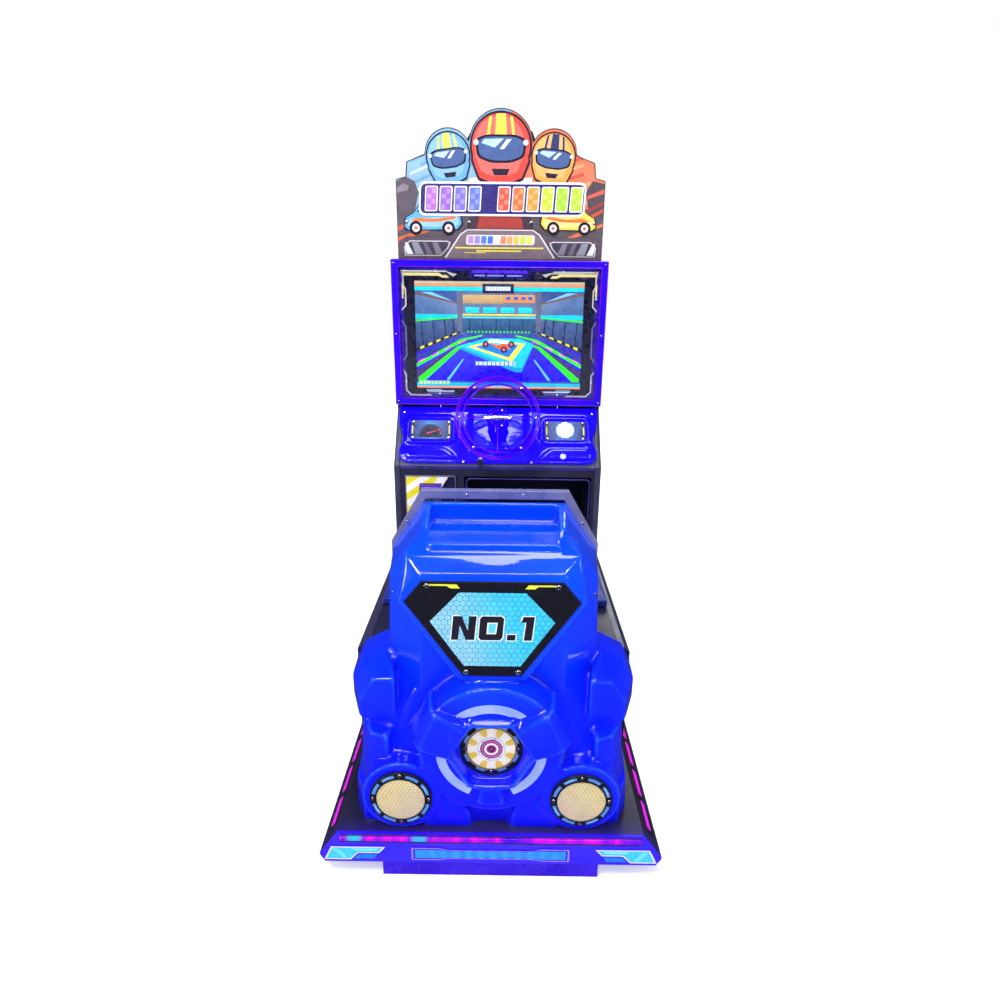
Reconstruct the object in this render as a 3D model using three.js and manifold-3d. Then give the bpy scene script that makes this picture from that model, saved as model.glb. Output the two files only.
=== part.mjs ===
// Sitdown racing cabinet for children: a floor base, a moulded bucket-seat shell between two side walls,
// and an upright cabinet with wheel, pedals, coin door, screen and a printed topper.
// Millimetres, +Z up. Origin on the floor under the middle of the outline. The driver looks along +Y.
import * as THREE from "three";
import { mergeVertices } from "three/addons/utils/BufferGeometryUtils.js";
import { ConvexGeometry } from "three/addons/geometries/ConvexGeometry.js";
import Module from "manifold-3d";

const wasm = await Module();
wasm.setup();

// ---------------------------------------------------------------- driving dimensions
const GAP = 0.3; // clearance left between pieces that touch
const BOARD = 18; // thickness of the cabinet boards

const PLINTH = { halfWidth: 220.5, rear: -595, front: 560, height: 35.7 };
const DECK = { halfWidth: 352, topHalfWidth: 311, rear: -598, front: 600, low: 36, top: 100, corner: 15 };
const FLOOR = DECK.top + GAP; // what stands on the deck starts here
const LED = { half: 305, front: -590, low: 86 }; // light strip let into the deck's rear top edge
const REAR_FACE = [-600, DECK.rear - GAP]; // light panels on the deck's rear face

const SHELL = { wall: 9, splitY: -363, frontY: -304.6, top: 737, half: 222 };
const PLATE = { y: -543.7, low: 443, wide: 600, high: 642, halfLow: 56, halfWide: 165, halfHigh: 131 };
const EMBLEM = { z: 288, radius: 60, y: -556, faceY: -574, clawY: -581 };
const SPEAKER = { x: 181, z: 176, ring: 62, pod: 80, faceY: -572, pocket: 50 };

const WALL = { outer: 300, inner: 228, rear: -362.7, front: 192.7, top: 400, board: 15 };
const PAD = { inner: 233, outer: 283, rear: -185, front: 30, thick: 28 };
const SEAT = { half: 224, rear: -290, front: 60, top: 300, cushion: 72, backFront: -226 };

const CAB = { half: 300, frontY: 193, ridgeZ: 656, neckY: 306, neckZ: 801, topZ: 1222, backY: 600 };
const CAB_BACK = { topY: 470, kneeZ: 860, panelY: 596 };
const INNER = CAB.half - BOARD - GAP; // half width between the cabinet sides

const FOOT = { left: -97, right: 273, low: 118, high: 626, back: 422, wall: 8 };
const DOOR = { left: -268, right: -120, low: 432, high: 629, y: 187, thick: 5.7 };
const COIN = { x: -194, halfWidth: 32, low: 470, high: 596, frontY: 177 };

const DASH = { y: 249.5, z: 728.5, tilt: Math.atan2(145, 113), half: 279, low: -86, high: 98 };
const DASH_FACE = 16; // how far the dash stands out of its mounting plane
const GAUGE = { x: 196, up: 16, halfWidth: 59, halfHeight: 31, thick: 2 };
const START = { radius: 20, ring: 26, travel: 3 };

const WHEEL = { y: 160, z: 805, tilt: THREE.MathUtils.degToRad(66), radius: 117.5, ring: 13, depth: 16 };
const SHAFT = { radius: 10, start: -9, end: -262 };
const GEAR = { module: 2, teeth: 30, potTeeth: 15, z: -206, thick: 8 };

const PEDAL = { pivotY: 262, pivotZ: 135, length: 165, rise: THREE.MathUtils.degToRad(50), width: 66 };
const BRAKE_X = 38;
const ACCELERATOR_X = 138;

const BEZEL = { low: 820, high: 1220, frontY: 274, rim: 19 };
const SCREEN = { z: 1016.5, halfWidth: 255, halfHeight: 161, frontY: 288, depth: 36 };
const TOPPER = { y: 344, thick: 6, half: 287.5, low: 1222.3, high: 1602 };
const SERVICE = { half: 200, low: 180, high: 780, thick: 12 };
const INLET = { x: 247, z: 145, halfWidth: 25, halfHeight: 27 };

// ---------------------------------------------------------------- geometry helpers
const v3 = (x, y, z) => new THREE.Vector3(x, y, z);

function solid(geometry) {
  const plain = geometry.clone();
  for (const name of ["normal", "uv"]) plain.deleteAttribute(name);
  const merged = mergeVertices(plain, 1e-4);
  const vertProperties = merged.attributes.position.array;
  const triVerts = new Uint32Array(merged.index.array);
  return new wasm.Manifold(new wasm.Mesh({ numProp: 3, vertProperties, triVerts }));
}

function geometryOf(body) {
  const mesh = body.getMesh();
  const geometry = new THREE.BufferGeometry();
  geometry.setAttribute("position", new THREE.BufferAttribute(mesh.vertProperties, 3));
  geometry.setIndex(new THREE.BufferAttribute(mesh.triVerts, 1));
  return geometry;
}

const join = (...bodies) => bodies.reduce((a, b) => a.add(b));
const cut = (body, ...tools) => tools.reduce((a, b) => a.subtract(b), body);

function block([x0, x1], [y0, y1], [z0, z1]) {
  const box = new THREE.BoxGeometry(x1 - x0, y1 - y0, z1 - z0);
  return solid(box.translate((x0 + x1) / 2, (y0 + y1) / 2, (z0 + z1) / 2));
}

function shapeOf(points) {
  return new THREE.Shape(points.map(([a, b]) => new THREE.Vector2(a, b)));
}

function prism(outline, depth) {
  const shape = outline instanceof THREE.Shape ? outline : shapeOf(outline);
  return new THREE.ExtrudeGeometry(shape, { depth, bevelEnabled: false, curveSegments: 6 });
}

// An outline in (x, z) drawn out from y0 to y1.
function prismY(outline, y0, y1) {
  return solid(prism(outline, y1 - y0).rotateX(Math.PI / 2).translate(0, y1, 0));
}

// An outline in (y, z) drawn out from x0 to x1.
function prismX(outline, x0, x1) {
  const turn = new THREE.Matrix4().makeBasis(v3(0, 1, 0), v3(0, 0, 1), v3(1, 0, 0));
  return solid(prism(outline, x1 - x0).applyMatrix4(turn).translate(x0, 0, 0));
}

// An outline in (x, y) drawn out from z0 to z1.
function prismZ(outline, z0, z1) {
  return solid(prism(outline, z1 - z0).translate(0, 0, z0));
}

function rod(from, to, radius, sides = 24, endRadius = radius) {
  const along = to.clone().sub(from);
  const geometry = new THREE.CylinderGeometry(endRadius, radius, along.length(), sides);
  geometry.translate(0, along.length() / 2, 0);
  const turn = new THREE.Quaternion().setFromUnitVectors(v3(0, 1, 0), along.normalize());
  return solid(geometry.applyQuaternion(turn).translate(from.x, from.y, from.z));
}

function hull(points) {
  return solid(new ConvexGeometry(points.map(([x, y, z]) => v3(x, y, z))));
}

// The same points on both sides of the middle plane.
const bothSides = (points) => points.flatMap(([x, y, z]) => [[x, y, z], [-x, y, z]]);

function roundedRectangle(x0, x1, y0, y1, radius) {
  const shape = new THREE.Shape();
  shape.moveTo(x0 + radius, y0);
  shape.lineTo(x1 - radius, y0);
  shape.absarc(x1 - radius, y0 + radius, radius, -Math.PI / 2, 0);
  shape.absarc(x1 - radius, y1 - radius, radius, 0, Math.PI / 2);
  shape.absarc(x0 + radius, y1 - radius, radius, Math.PI / 2, Math.PI);
  shape.absarc(x0 + radius, y0 + radius, radius, Math.PI, 1.5 * Math.PI);
  return shape;
}

// ---------------------------------------------------------------- materials
function finish(color, roughness, metalness) {
  return new THREE.MeshStandardMaterial({ color, roughness, metalness });
}

const gelcoatBlue = () => finish(0x0a2be0, 0.12, 0);
const blackLaminate = () => finish(0x202226, 0.5, 0);
const darkSteel = () => finish(0x2b2d31, 0.45, 0.8);
const bareSteel = () => finish(0xb8babd, 0.35, 1);
const litBlue = () => finish(0x39b8ff, 0.3, 0);
const litMagenta = () => finish(0xd838ff, 0.3, 0);
const blueLeather = () => finish(0x101c52, 0.6, 0);
const blackPlastic = () => finish(0x18191c, 0.4, 0);

// ---------------------------------------------------------------- the assembly
const cabinet = new THREE.Group();

function addTo(group, name, body, material) {
  const mesh = new THREE.Mesh(geometryOf(body), material);
  mesh.name = name;
  group.add(mesh);
  return mesh;
}

const add = (name, body, material) => addTo(cabinet, name, body, material);

// Calls make with the side's name and its sign: the left is -X.
function eachSide(make) {
  make("left", -1);
  make("right", 1);
}

// ---------------------------------------------------------------- base
function plinth() {
  const foot = block([-PLINTH.halfWidth, PLINTH.halfWidth], [PLINTH.rear, PLINTH.front], [0, PLINTH.height]);
  const core = block([-214, 214], [-570, 550], [PLINTH.height - 1, DECK.top - BOARD - GAP]);
  return join(foot, core);
}

function deckOutline(half, z) {
  const c = DECK.corner;
  return bothSides([
    [half, DECK.rear + c, z],
    [half - c, DECK.rear, z],
    [half, DECK.front - c, z],
    [half - c, DECK.front, z],
  ]);
}

function deck() {
  const lip = 7;
  const outer = hull([
    ...deckOutline(DECK.halfWidth, DECK.low),
    ...deckOutline(DECK.halfWidth, DECK.low + lip),
    ...deckOutline(DECK.topHalfWidth, DECK.top),
  ]);
  const pan = block([-296, 296], [DECK.rear + BOARD, DECK.front - BOARD], [0, DECK.top - BOARD]);
  const rebate = block([-LED.half - GAP, LED.half + GAP], [-610, LED.front + GAP], [LED.low - GAP, 120]);
  return cut(outer, pan, rebate);
}

// A light dash strip lying on the sloped side of the deck.
function sideLight(side) {
  const across = v3(DECK.topHalfWidth - DECK.halfWidth, 0, DECK.top - DECK.low - 7).normalize();
  const out = v3(across.z, 0, -across.x);
  const middle = v3((DECK.halfWidth + DECK.topHalfWidth) / 2, 0, (DECK.top + DECK.low + 7) / 2);
  const points = [];
  for (const y of [-540, 540])
    for (const w of [-8, 8])
      for (const h of [GAP, 1.8]) {
        const p = middle.clone().addScaledVector(across, w).addScaledVector(out, h);
        points.push([side * p.x, y, p.z]);
      }
  return hull(points);
}

add("plinth", plinth(), finish(0x1a2a9a, 0.35, 0));
add("base_deck", deck(), blackLaminate());
add("rear_led_strip", block([-LED.half, LED.half], [-600, LED.front], [LED.low, DECK.top]), litMagenta());
const barHalf = [[161, 42], [161, 76], [112, 76], [104, 72]];
const barOutline = [...barHalf, ...barHalf.map(([x, z]) => [-x, z]).reverse()];
add("rear_light_bar", prismY(barOutline, ...REAR_FACE), litBlue());
const cornerOutline = [[217, 72], [217, 56], [230, 42], [330, 42], [318, 72]];
eachSide((side, sign) => {
  const corner = prismY(cornerOutline, ...REAR_FACE);
  add(`rear_corner_light_${side}`, sign > 0 ? corner : corner.mirror([1, 0, 0]), litBlue());
  add(`side_light_${side}`, sideLight(sign), litMagenta());
});

// ---------------------------------------------------------------- seat shell
// Each moulded volume is the convex hull of a few outlines; t moves its walls inwards.
function lowerVolume(t) {
  const front = t ? SHELL.splitY + 20 : SHELL.splitY;
  const levels = [
    { z: FLOOR - (t ? 5 : 0), rear: -564, rearHalf: 232, sideY: -545, half: 262, frontHalf: 296 },
    { z: 250, rear: -550, rearHalf: 196, sideY: -500, half: 262, frontHalf: 292 },
    { z: 392 - t, rear: -500, rearHalf: 140, sideY: -430, half: 224, frontHalf: 228 },
  ];
  const points = levels.flatMap(({ z, rear, rearHalf, sideY, half, frontHalf }) => [
    [rearHalf - t / 2, rear + t, z],
    [half - t, sideY + t / 2, z],
    [t ? SHELL.half - t : frontHalf, front, z],
  ]);
  return hull(bothSides(points));
}

function upperVolume(t) {
  const front = SHELL.frontY + (t ? 5 : 0);
  const outlines = [
    { y: front, points: [[SHELL.half, 360], [SHELL.half + 3, 620], [156, SHELL.top]] },
    { y: -420 + t / 2, points: [[SHELL.half, 360], [214, 600], [140, 704]] },
    { y: -500 + t, points: [[143, 380], [143, 640], [123, 696]] },
  ];
  const points = outlines.flatMap(({ y, points }) =>
    points.map(([x, z], i) => [x - t, y, i === 0 ? z - (t ? 40 : 0) : z - t]),
  );
  return hull(bothSides(points));
}

// The block that carries the number plate, with the slope above it.
function plateBlock() {
  const rim = 7;
  const face = PLATE.y + GAP;
  return hull(
    bothSides([
      [PLATE.halfLow + rim, face, PLATE.low - rim],
      [PLATE.halfWide + rim, face, PLATE.wide],
      [PLATE.halfHigh + rim / 2, face, PLATE.high + rim],
      [PLATE.halfLow + 14, -529, PLATE.low - 13],
      [PLATE.halfWide + 13, -529, PLATE.wide],
      [134, -529, 665],
      [163, -512, 678],
      [90, -440, 450],
      [178, -440, 604],
      [160, -440, 684],
      [123, -444, 700],
    ]),
  );
}

function fender(side) {
  return hull(
    [
      [226, SHELL.splitY, 290],
      [298, SHELL.splitY, 300],
      [300, SHELL.splitY, 376],
      [290, SHELL.splitY, 396],
      [226, SHELL.splitY, 428],
      [300, -423, 320],
      [299, -423, 364],
      [276, -430, 404],
      [226, -425, 426],
      [276, -480, 300],
      [270, -490, 352],
      [238, -496, 396],
      [196, -506, 300],
      [196, -500, 400],
    ].map(([x, y, z]) => [side * x, y, z]),
  );
}

function column(side) {
  return hull(
    [
      [196, -552, 150],
      [252, -542, 150],
      [272, -500, 150],
      [290, -400, 150],
      [206, -544, 296],
      [244, -528, 296],
      [270, -470, 296],
      [284, -400, 296],
      [190, -400, 150],
      [190, -400, 300],
    ].map(([x, y, z]) => [side * x, y, z]),
  );
}

const alongY = (x, y0, y1, z, radius, sides) => rod(v3(x, y0, z), v3(x, y1, z), radius, sides);

// A round boss with three claws over its rim; the badge lies in the pocket at its centre.
function emblemBoss() {
  const { z, radius, y, faceY, clawY } = EMBLEM;
  const disc = alongY(0, -500, faceY, z, 146, 40);
  const claw = prismY([[55, -30], [80, -30], [150, -38], [150, 38], [80, 30], [55, 30]], clawY, -500);
  const claws = [21, 159, 270].map((turn) => claw.rotate([0, -turn, 0]).translate([0, 0, z]));
  const pocket = alongY(0, y + GAP, -600, z, radius + 2, 40);
  return cut(join(disc, ...claws), pocket);
}

function seatShell() {
  let shell = join(lowerVolume(0), upperVolume(0), plateBlock(), emblemBoss());
  for (const side of [-1, 1]) {
    const round = alongY(side * SPEAKER.x, -480, SPEAKER.faceY + GAP, SPEAKER.z, SPEAKER.pod, 32);
    const pod = cut(round, block([-400, 400], [-600, 0], [0, FLOOR]));
    shell = join(shell, fender(side), column(side), pod);
  }
  const headRecess = hull(
    bothSides([
      [116, -438, 697],
      [120, -438, 760],
      [118, -318, 689],
      [124, -318, 760],
    ]),
  );
  const underRecess = block([-136, 136], [-460, -300], [676, 760]);
  const upperHollow = cut(upperVolume(SHELL.wall), underRecess);
  shell = cut(shell, lowerVolume(SHELL.wall), upperHollow, headRecess);
  for (const side of [-1, 1]) {
    shell = cut(shell, alongY(side * SPEAKER.x, -450, -600, SPEAKER.z, SPEAKER.pocket, 32));
  }
  return shell;
}

function trimFrame() {
  const outer = [[-226, 402], [226, 402], [226, 622], [158, 740], [-158, 740], [-226, 622]];
  const inner = [[-207, 390], [207, 390], [207, 616], [148, 720], [-148, 720], [-207, 616]];
  return cut(prismY(outer, -304.3, -286), prismY(inner, -320, -270));
}

function backCushion() {
  const outline = [[-204, 304], [204, 304], [204, 612], [145, 716], [-145, 716], [-204, 612]];
  return prismY(outline, -303, SEAT.backFront);
}

function seatBox() {
  const board = 15;
  const { half, rear, front, top } = SEAT;
  const inside = block([board - half, half - board], [rear + board, front - board], [90, top - board]);
  return cut(block([-half, half], [rear, front], [FLOOR, top]), inside);
}

function seatCushion() {
  const low = SEAT.top + GAP;
  const profile = [
    [SEAT.backFront + 1, low],
    [SEAT.front, low],
    [SEAT.front, low + SEAT.cushion - 14],
    [SEAT.front - 20, low + SEAT.cushion],
    [SEAT.backFront + 1, low + SEAT.cushion - 10],
  ];
  return prismX(profile, -220, 220);
}

function sideWall(side) {
  const { outer, inner, rear, front, top, board } = WALL;
  const bevel = 12;
  const profile = [[inner, FLOOR], [outer, FLOOR], [outer, top - bevel], [outer - bevel, top], [inner, top]];
  const body = prismY(profile, rear, front);
  const inside = block([inner + board, outer - board], [rear + board, front - board], [90, top - board]);
  const wall = cut(body, inside);
  return side > 0 ? wall : wall.mirror([1, 0, 0]);
}

function emblemPlate() {
  return alongY(0, EMBLEM.y, EMBLEM.y - 6, EMBLEM.z, EMBLEM.radius, 32);
}

function numberPlate() {
  const { low, wide, high, halfLow, halfWide, halfHigh, y } = PLATE;
  const outline = [[-halfLow, low], [halfLow, low], [halfWide, wide], [halfHigh, high], [-halfHigh, high],
    [-halfWide, wide]];
  return prismY(outline, y - 4, y);
}

function speakerDriver(side) {
  const x = side * SPEAKER.x;
  const rim = alongY(x, -569, -564, SPEAKER.z, 48, 32);
  const cone = rod(v3(x, -565, SPEAKER.z), v3(x, -535, SPEAKER.z), 46, 32, 26);
  const magnet = alongY(x, -536, -518, SPEAKER.z, 30, 32);
  return join(rim, cone, magnet);
}

add("seat_shell", seatShell(), gelcoatBlue());
add("seat_trim_frame", trimFrame(), blackPlastic());
add("back_cushion", backCushion(), blueLeather());
add("seat_box", seatBox(), blackLaminate());
add("seat_cushion", seatCushion(), blueLeather());
add("number_plate", numberPlate(), finish(0x56c4e8, 0.3, 0));
add("emblem_plate", emblemPlate(), finish(0xe9e2b8, 0.3, 0));
eachSide((side, sign) => {
  const pad = roundedRectangle(PAD.inner, PAD.outer, PAD.rear, PAD.front, 12);
  const padBody = prismZ(pad, WALL.top + GAP, WALL.top + GAP + PAD.thick);
  add(`side_wall_${side}`, sideWall(sign), blackLaminate());
  add(`arm_pad_${side}`, sign > 0 ? padBody : padBody.mirror([1, 0, 0]), blueLeather());
  const grille = alongY(sign * SPEAKER.x, SPEAKER.faceY, -578, SPEAKER.z, SPEAKER.ring, 32);
  add(`speaker_grille_${side}`, grille, finish(0xe6d48a, 0.35, 0));
  add(`speaker_driver_${side}`, speakerDriver(sign), blackPlastic());
});

// ---------------------------------------------------------------- cabinet boards
function cabinetSide(side) {
  const profile = [
    [CAB.frontY, FLOOR],
    [CAB.backY, FLOOR],
    [CAB.backY, CAB_BACK.kneeZ],
    [CAB_BACK.topY, CAB.topZ],
    [CAB.neckY, CAB.topZ],
    [CAB.neckY, CAB.neckZ],
    [CAB.frontY, CAB.ridgeZ],
  ];
  const x0 = CAB.half - BOARD;
  return side > 0 ? prismX(profile, x0, CAB.half) : prismX(profile, -CAB.half, -x0);
}

function frontPanel() {
  const thick = 15;
  const body = block([-INNER, INNER], [CAB.frontY, CAB.frontY + thick], [FLOOR, 647]);
  const feet = block([FOOT.left, FOOT.right], [CAB.frontY - 5, CAB.frontY + 30], [FOOT.low, FOOT.high]);
  const coins = block([DOOR.left + 6, DOOR.right - 6], [CAB.frontY - 5, 230], [DOOR.low + 6, DOOR.high - 6]);
  return cut(body, feet, coins);
}

function footwellLiner() {
  const { left, right, low, high, back, wall } = FOOT;
  const front = CAB.frontY + 15 + GAP;
  const outer = block([left - wall, right + wall], [front, back + wall], [low - wall, high + wall]);
  return cut(outer, block([left, right], [front - 5, back], [low, high]));
}

// One moulding: the upright back with its door opening, and the slope above it.
function backPanel() {
  const thick = 15;
  const y = CAB_BACK.panelY;
  const drop = 4 / 3;
  const profile = [
    [y - thick, FLOOR],
    [y, FLOOR],
    [y, CAB_BACK.kneeZ],
    [CAB_BACK.topY - drop, CAB.topZ - 4],
    [CAB_BACK.topY - drop - thick, CAB.topZ - 4],
    [y - thick, CAB_BACK.kneeZ - 5],
  ];
  const body = prismX(profile, -INNER, INNER);
  const door = block([-SERVICE.half, SERVICE.half], [y - 40, y + 5], [SERVICE.low, SERVICE.high]);
  const inlet = block([INLET.x - 21.6, INLET.x + 21.6], [y - 40, y + 5], [INLET.z - 23.6, INLET.z + 23.6]);
  return cut(body, door, inlet);
}

function serviceDoor() {
  const y = CAB_BACK.panelY;
  const clear = 2;
  const half = SERVICE.half - clear;
  const leaf = block([-half, half], [y - SERVICE.thick, y], [SERVICE.low + clear, SERVICE.high - clear]);
  const vents = [640, 662, 684, 706, 728].map((z) => block([-90, 90], [y - 30, y + 5], [z, z + 8]));
  return cut(leaf, ...vents);
}

// The top board with the four uprights that hold the topper.
function cabinetTop() {
  const board = block([-INNER, INNER], [CAB.neckY + GAP, 450], [CAB.topZ - BOARD, CAB.topZ]);
  const y = TOPPER.y + TOPPER.thick + GAP;
  const uprights = [-261, -87, 87, 261].map((x) => block([x - 10, x + 10], [y, y + 4], [CAB.topZ - 1, 1336]));
  return join(board, ...uprights);
}

eachSide((side, sign) => add(`cab_side_${side}`, cabinetSide(sign), blackLaminate()));
add("cab_front_panel", frontPanel(), blackLaminate());
add("footwell_liner", footwellLiner(), blackLaminate());
add("back_panel", backPanel(), blackLaminate());
add("service_door", serviceDoor(), blackLaminate());
add("cab_top", cabinetTop(), blackLaminate());

// ---------------------------------------------------------------- coin door
const REJECT = { x: -212, z: 566, radius: 7 };
const CUP = { left: -216, right: -172, low: 478, high: 512, back: 222 };
const LOCK = { x: -141, z: 530, radius: 9 };

function coinDoor() {
  const { left, right, low, high, y, thick } = DOOR;
  const leaf = block([left, right], [y, y + thick], [low, high]);
  const across = [COIN.x - COIN.halfWidth, COIN.x + COIN.halfWidth];
  const face = block(across, [COIN.frontY, y + 1], [COIN.low, COIN.high]);
  const cup = block([CUP.left - 4, CUP.right + 4], [y, CUP.back + 3], [CUP.low - 4, CUP.high + 4]);
  const pocket = block([CUP.left, CUP.right], [COIN.frontY - 5, CUP.back], [CUP.low, CUP.high]);
  const slot = block([COIN.x + 2, COIN.x + 6], [COIN.frontY - 5, y + 20], [546, 582]);
  const button = alongY(REJECT.x, 170, 210, REJECT.z, REJECT.radius + GAP, 20);
  const lock = alongY(LOCK.x, 170, 210, LOCK.z, LOCK.radius + GAP, 20);
  return cut(join(leaf, face, cup), pocket, slot, button, lock);
}

function coinMech() {
  const front = DOOR.y + DOOR.thick + GAP;
  const body = block([-226, -162], [front, 246], [520, 604]);
  const slot = block([COIN.x + 2, COIN.x + 6], [front - 5, 232], [546, 582]);
  const room = alongY(REJECT.x, front - 5, 206, REJECT.z, REJECT.radius + 2, 20);
  return cut(body, slot, room);
}

function returnFlap() {
  return block([CUP.left + 2, CUP.right - 2], [179, 181.5], [CUP.low + 2, CUP.high - 2]);
}

function cashBox() {
  const outer = block([-262, -125], [235, 400], [FLOOR, 260]);
  return cut(outer, block([-259, -128], [238, 397], [FLOOR + 3, 270]));
}

add("coin_door", coinDoor(), finish(0xf2d21c, 0.4, 0.2));
add("coin_mech", coinMech(), blackPlastic());
const rejectButton = alongY(REJECT.x, 173.5, 196, REJECT.z, REJECT.radius, 20);
add("coin_reject_button", rejectButton, finish(0xc81818, 0.3, 0));
add("coin_return_flap", returnFlap(), bareSteel());
add("coin_door_lock", alongY(LOCK.x, 184, 206, LOCK.z, LOCK.radius, 20), bareSteel());
add("cash_box", cashBox(), darkSteel());

// ---------------------------------------------------------------- dash, in its own tilted frame
// Local X across, local Y up the slope, local Z out of the slope.
const dash = new THREE.Group();
dash.position.set(0, DASH.y, DASH.z);
dash.rotation.x = DASH.tilt;
cabinet.add(dash);
dash.updateMatrixWorld(true);

// The steering wheel's frame: local Z towards the driver, local Y up the rim.
const steering = new THREE.Group();
steering.position.set(0, WHEEL.y, WHEEL.z);
steering.rotation.x = WHEEL.tilt;
cabinet.add(steering);
steering.updateMatrixWorld(true);

const alongZ = (x, y, z0, z1, radius, sides) => rod(v3(x, y, z0), v3(x, y, z1), radius, sides);

function shaftPointInDash(z) {
  return dash.worldToLocal(steering.localToWorld(v3(0, 0, z)));
}

function controlPanel() {
  const outline = roundedRectangle(-DASH.half, DASH.half, DASH.low, DASH.high, 26);
  const body = prismZ(outline, -20, DASH_FACE);
  const hollow = block([-250, 250], [DASH.low + 20, DASH.high - 20], [-30, DASH_FACE - 9]);
  const shaftHole = rod(shaftPointInDash(-40), shaftPointInDash(-220), 24, 24);
  const buttonHole = alongZ(GAUGE.x, GAUGE.up, -30, 30, 16, 24);
  return cut(body, hollow, shaftHole, buttonHole);
}

function dashPlate(x) {
  const { up, halfWidth, halfHeight, thick } = GAUGE;
  const outline = roundedRectangle(x - halfWidth, x + halfWidth, up - halfHeight, up + halfHeight, 8);
  return prismZ(outline, DASH_FACE + GAP, DASH_FACE + GAP + thick);
}

const PLATE_TOP = DASH_FACE + GAP + GAUGE.thick;

function startButton() {
  const radius = START.radius;
  const profile = [new THREE.Vector2(0, PLATE_TOP - 14), new THREE.Vector2(radius, PLATE_TOP - 14)];
  for (let i = 0; i <= 5; i++) {
    const angle = (i / 5) * (Math.PI / 2);
    profile.push(new THREE.Vector2(radius * Math.cos(angle), PLATE_TOP + 7 + 7 * Math.sin(angle)));
  }
  profile[profile.length - 1].x = 0;
  const dome = new THREE.LatheGeometry(profile, 24).rotateX(Math.PI / 2);
  return solid(dome.translate(GAUGE.x, GAUGE.up, 0));
}

function startRing() {
  const sleeve = alongZ(GAUGE.x, GAUGE.up, PLATE_TOP + GAP, PLATE_TOP + 6, START.ring, 32);
  return cut(sleeve, alongZ(GAUGE.x, GAUGE.up, 0, 40, START.radius + 0.6, 32));
}

const dashBody = cut(controlPanel(), alongZ(GAUGE.x, GAUGE.up, -30, 40, START.radius + 0.8, 24));
const buttonPlate = cut(dashPlate(GAUGE.x), alongZ(GAUGE.x, GAUGE.up, 0, 40, START.radius + 0.8, 24));
addTo(dash, "control_panel", dashBody, gelcoatBlue());
addTo(dash, "gauge_plate", dashPlate(-GAUGE.x), blackPlastic());
addTo(dash, "button_plate", buttonPlate, blackPlastic());
addTo(dash, "start_button_ring", startRing(), bareSteel());
addTo(dash, "start_button", startButton(), finish(0xd8e6ff, 0.2, 0));

// ---------------------------------------------------------------- steering
function steeringWheel() {
  const { radius, ring, depth } = WHEEL;
  const half = depth / 2;
  const rim = radius - ring;
  const profile = [];
  for (let i = 0; i < 10; i++) {
    const angle = (i / 10) * 2 * Math.PI;
    profile.push(new THREE.Vector2(rim + ring * Math.cos(angle), half * Math.sin(angle)));
  }
  profile.push(profile[0].clone());
  const hoop = solid(new THREE.LatheGeometry(profile, 40).rotateX(Math.PI / 2));
  const spoke = block([20, rim - 4], [-13, 13], [-4, 4]);
  const spokes = [0, 180, 270].map((degrees) => spoke.rotate([0, 0, degrees]));
  const hub = alongZ(0, 0, -8, 8, 31, 24);
  return join(hoop, hub, ...spokes);
}

function gearOutline(teeth, turned) {
  const pitch = (GEAR.module * teeth) / 2;
  const step = (2 * Math.PI) / teeth;
  const root = pitch - 1.25 * GEAR.module;
  const tip = pitch + 0.8 * GEAR.module;
  const points = [];
  for (let i = 0; i < teeth; i++) {
    const middle = (i + turned) * step;
    for (const [radius, share] of [[root, -0.29], [tip, -0.1], [tip, 0.1], [root, 0.29]]) {
      const angle = middle + share * step;
      points.push([radius * Math.cos(angle), radius * Math.sin(angle)]);
    }
  }
  return points;
}

const POT_X = (GEAR.module * (GEAR.teeth + GEAR.potTeeth)) / 2;

function steeringGear() {
  const wheel = prismZ(gearOutline(GEAR.teeth, 0), GEAR.z, GEAR.z + GEAR.thick);
  return cut(wheel, alongZ(0, 0, GEAR.z - 5, GEAR.z + 20, SHAFT.radius + GAP, 24));
}

function potGear() {
  const wheel = prismZ(gearOutline(GEAR.potTeeth, 0), GEAR.z, GEAR.z + GEAR.thick);
  return join(wheel.translate([POT_X, 0, 0]), alongZ(POT_X, 0, -226, GEAR.z + 1, 3, 12));
}

function steeringPot() {
  const body = alongZ(POT_X, 0, -234, -212, 12, 20);
  const foot = block([POT_X - 8, POT_X + 30], [-8, 8], [-238, -233]);
  const arm = block([POT_X + 24, POT_X + 30], [-8, 8], [-238, -172]);
  return cut(join(body, foot, arm), alongZ(POT_X, 0, -230, -200, 3 + GAP, 12));
}

// Cross beam between the cabinet sides with the bearing housing in its middle.
function steeringBracket() {
  const beam = block([-INNER, INNER], [-20, 20], [-171, -156]);
  const housing = alongZ(0, 0, -186, -148, 24, 24);
  return cut(join(beam, housing), alongZ(0, 0, -200, -100, SHAFT.radius + GAP, 24));
}

addTo(steering, "steering_wheel", steeringWheel(), finish(0x3a3cff, 0.1, 0));
addTo(steering, "steering_shaft", alongZ(0, 0, SHAFT.end, SHAFT.start, SHAFT.radius, 24), bareSteel());
addTo(steering, "steering_gear", steeringGear(), finish(0xd8d4c4, 0.5, 0));
addTo(steering, "pot_gear", potGear(), finish(0xd8d4c4, 0.5, 0));
addTo(steering, "steering_pot", steeringPot(), darkSteel());
addTo(steering, "steering_bracket", steeringBracket(), darkSteel());

// ---------------------------------------------------------------- pedals
const PIN_RADIUS = 4;

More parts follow.
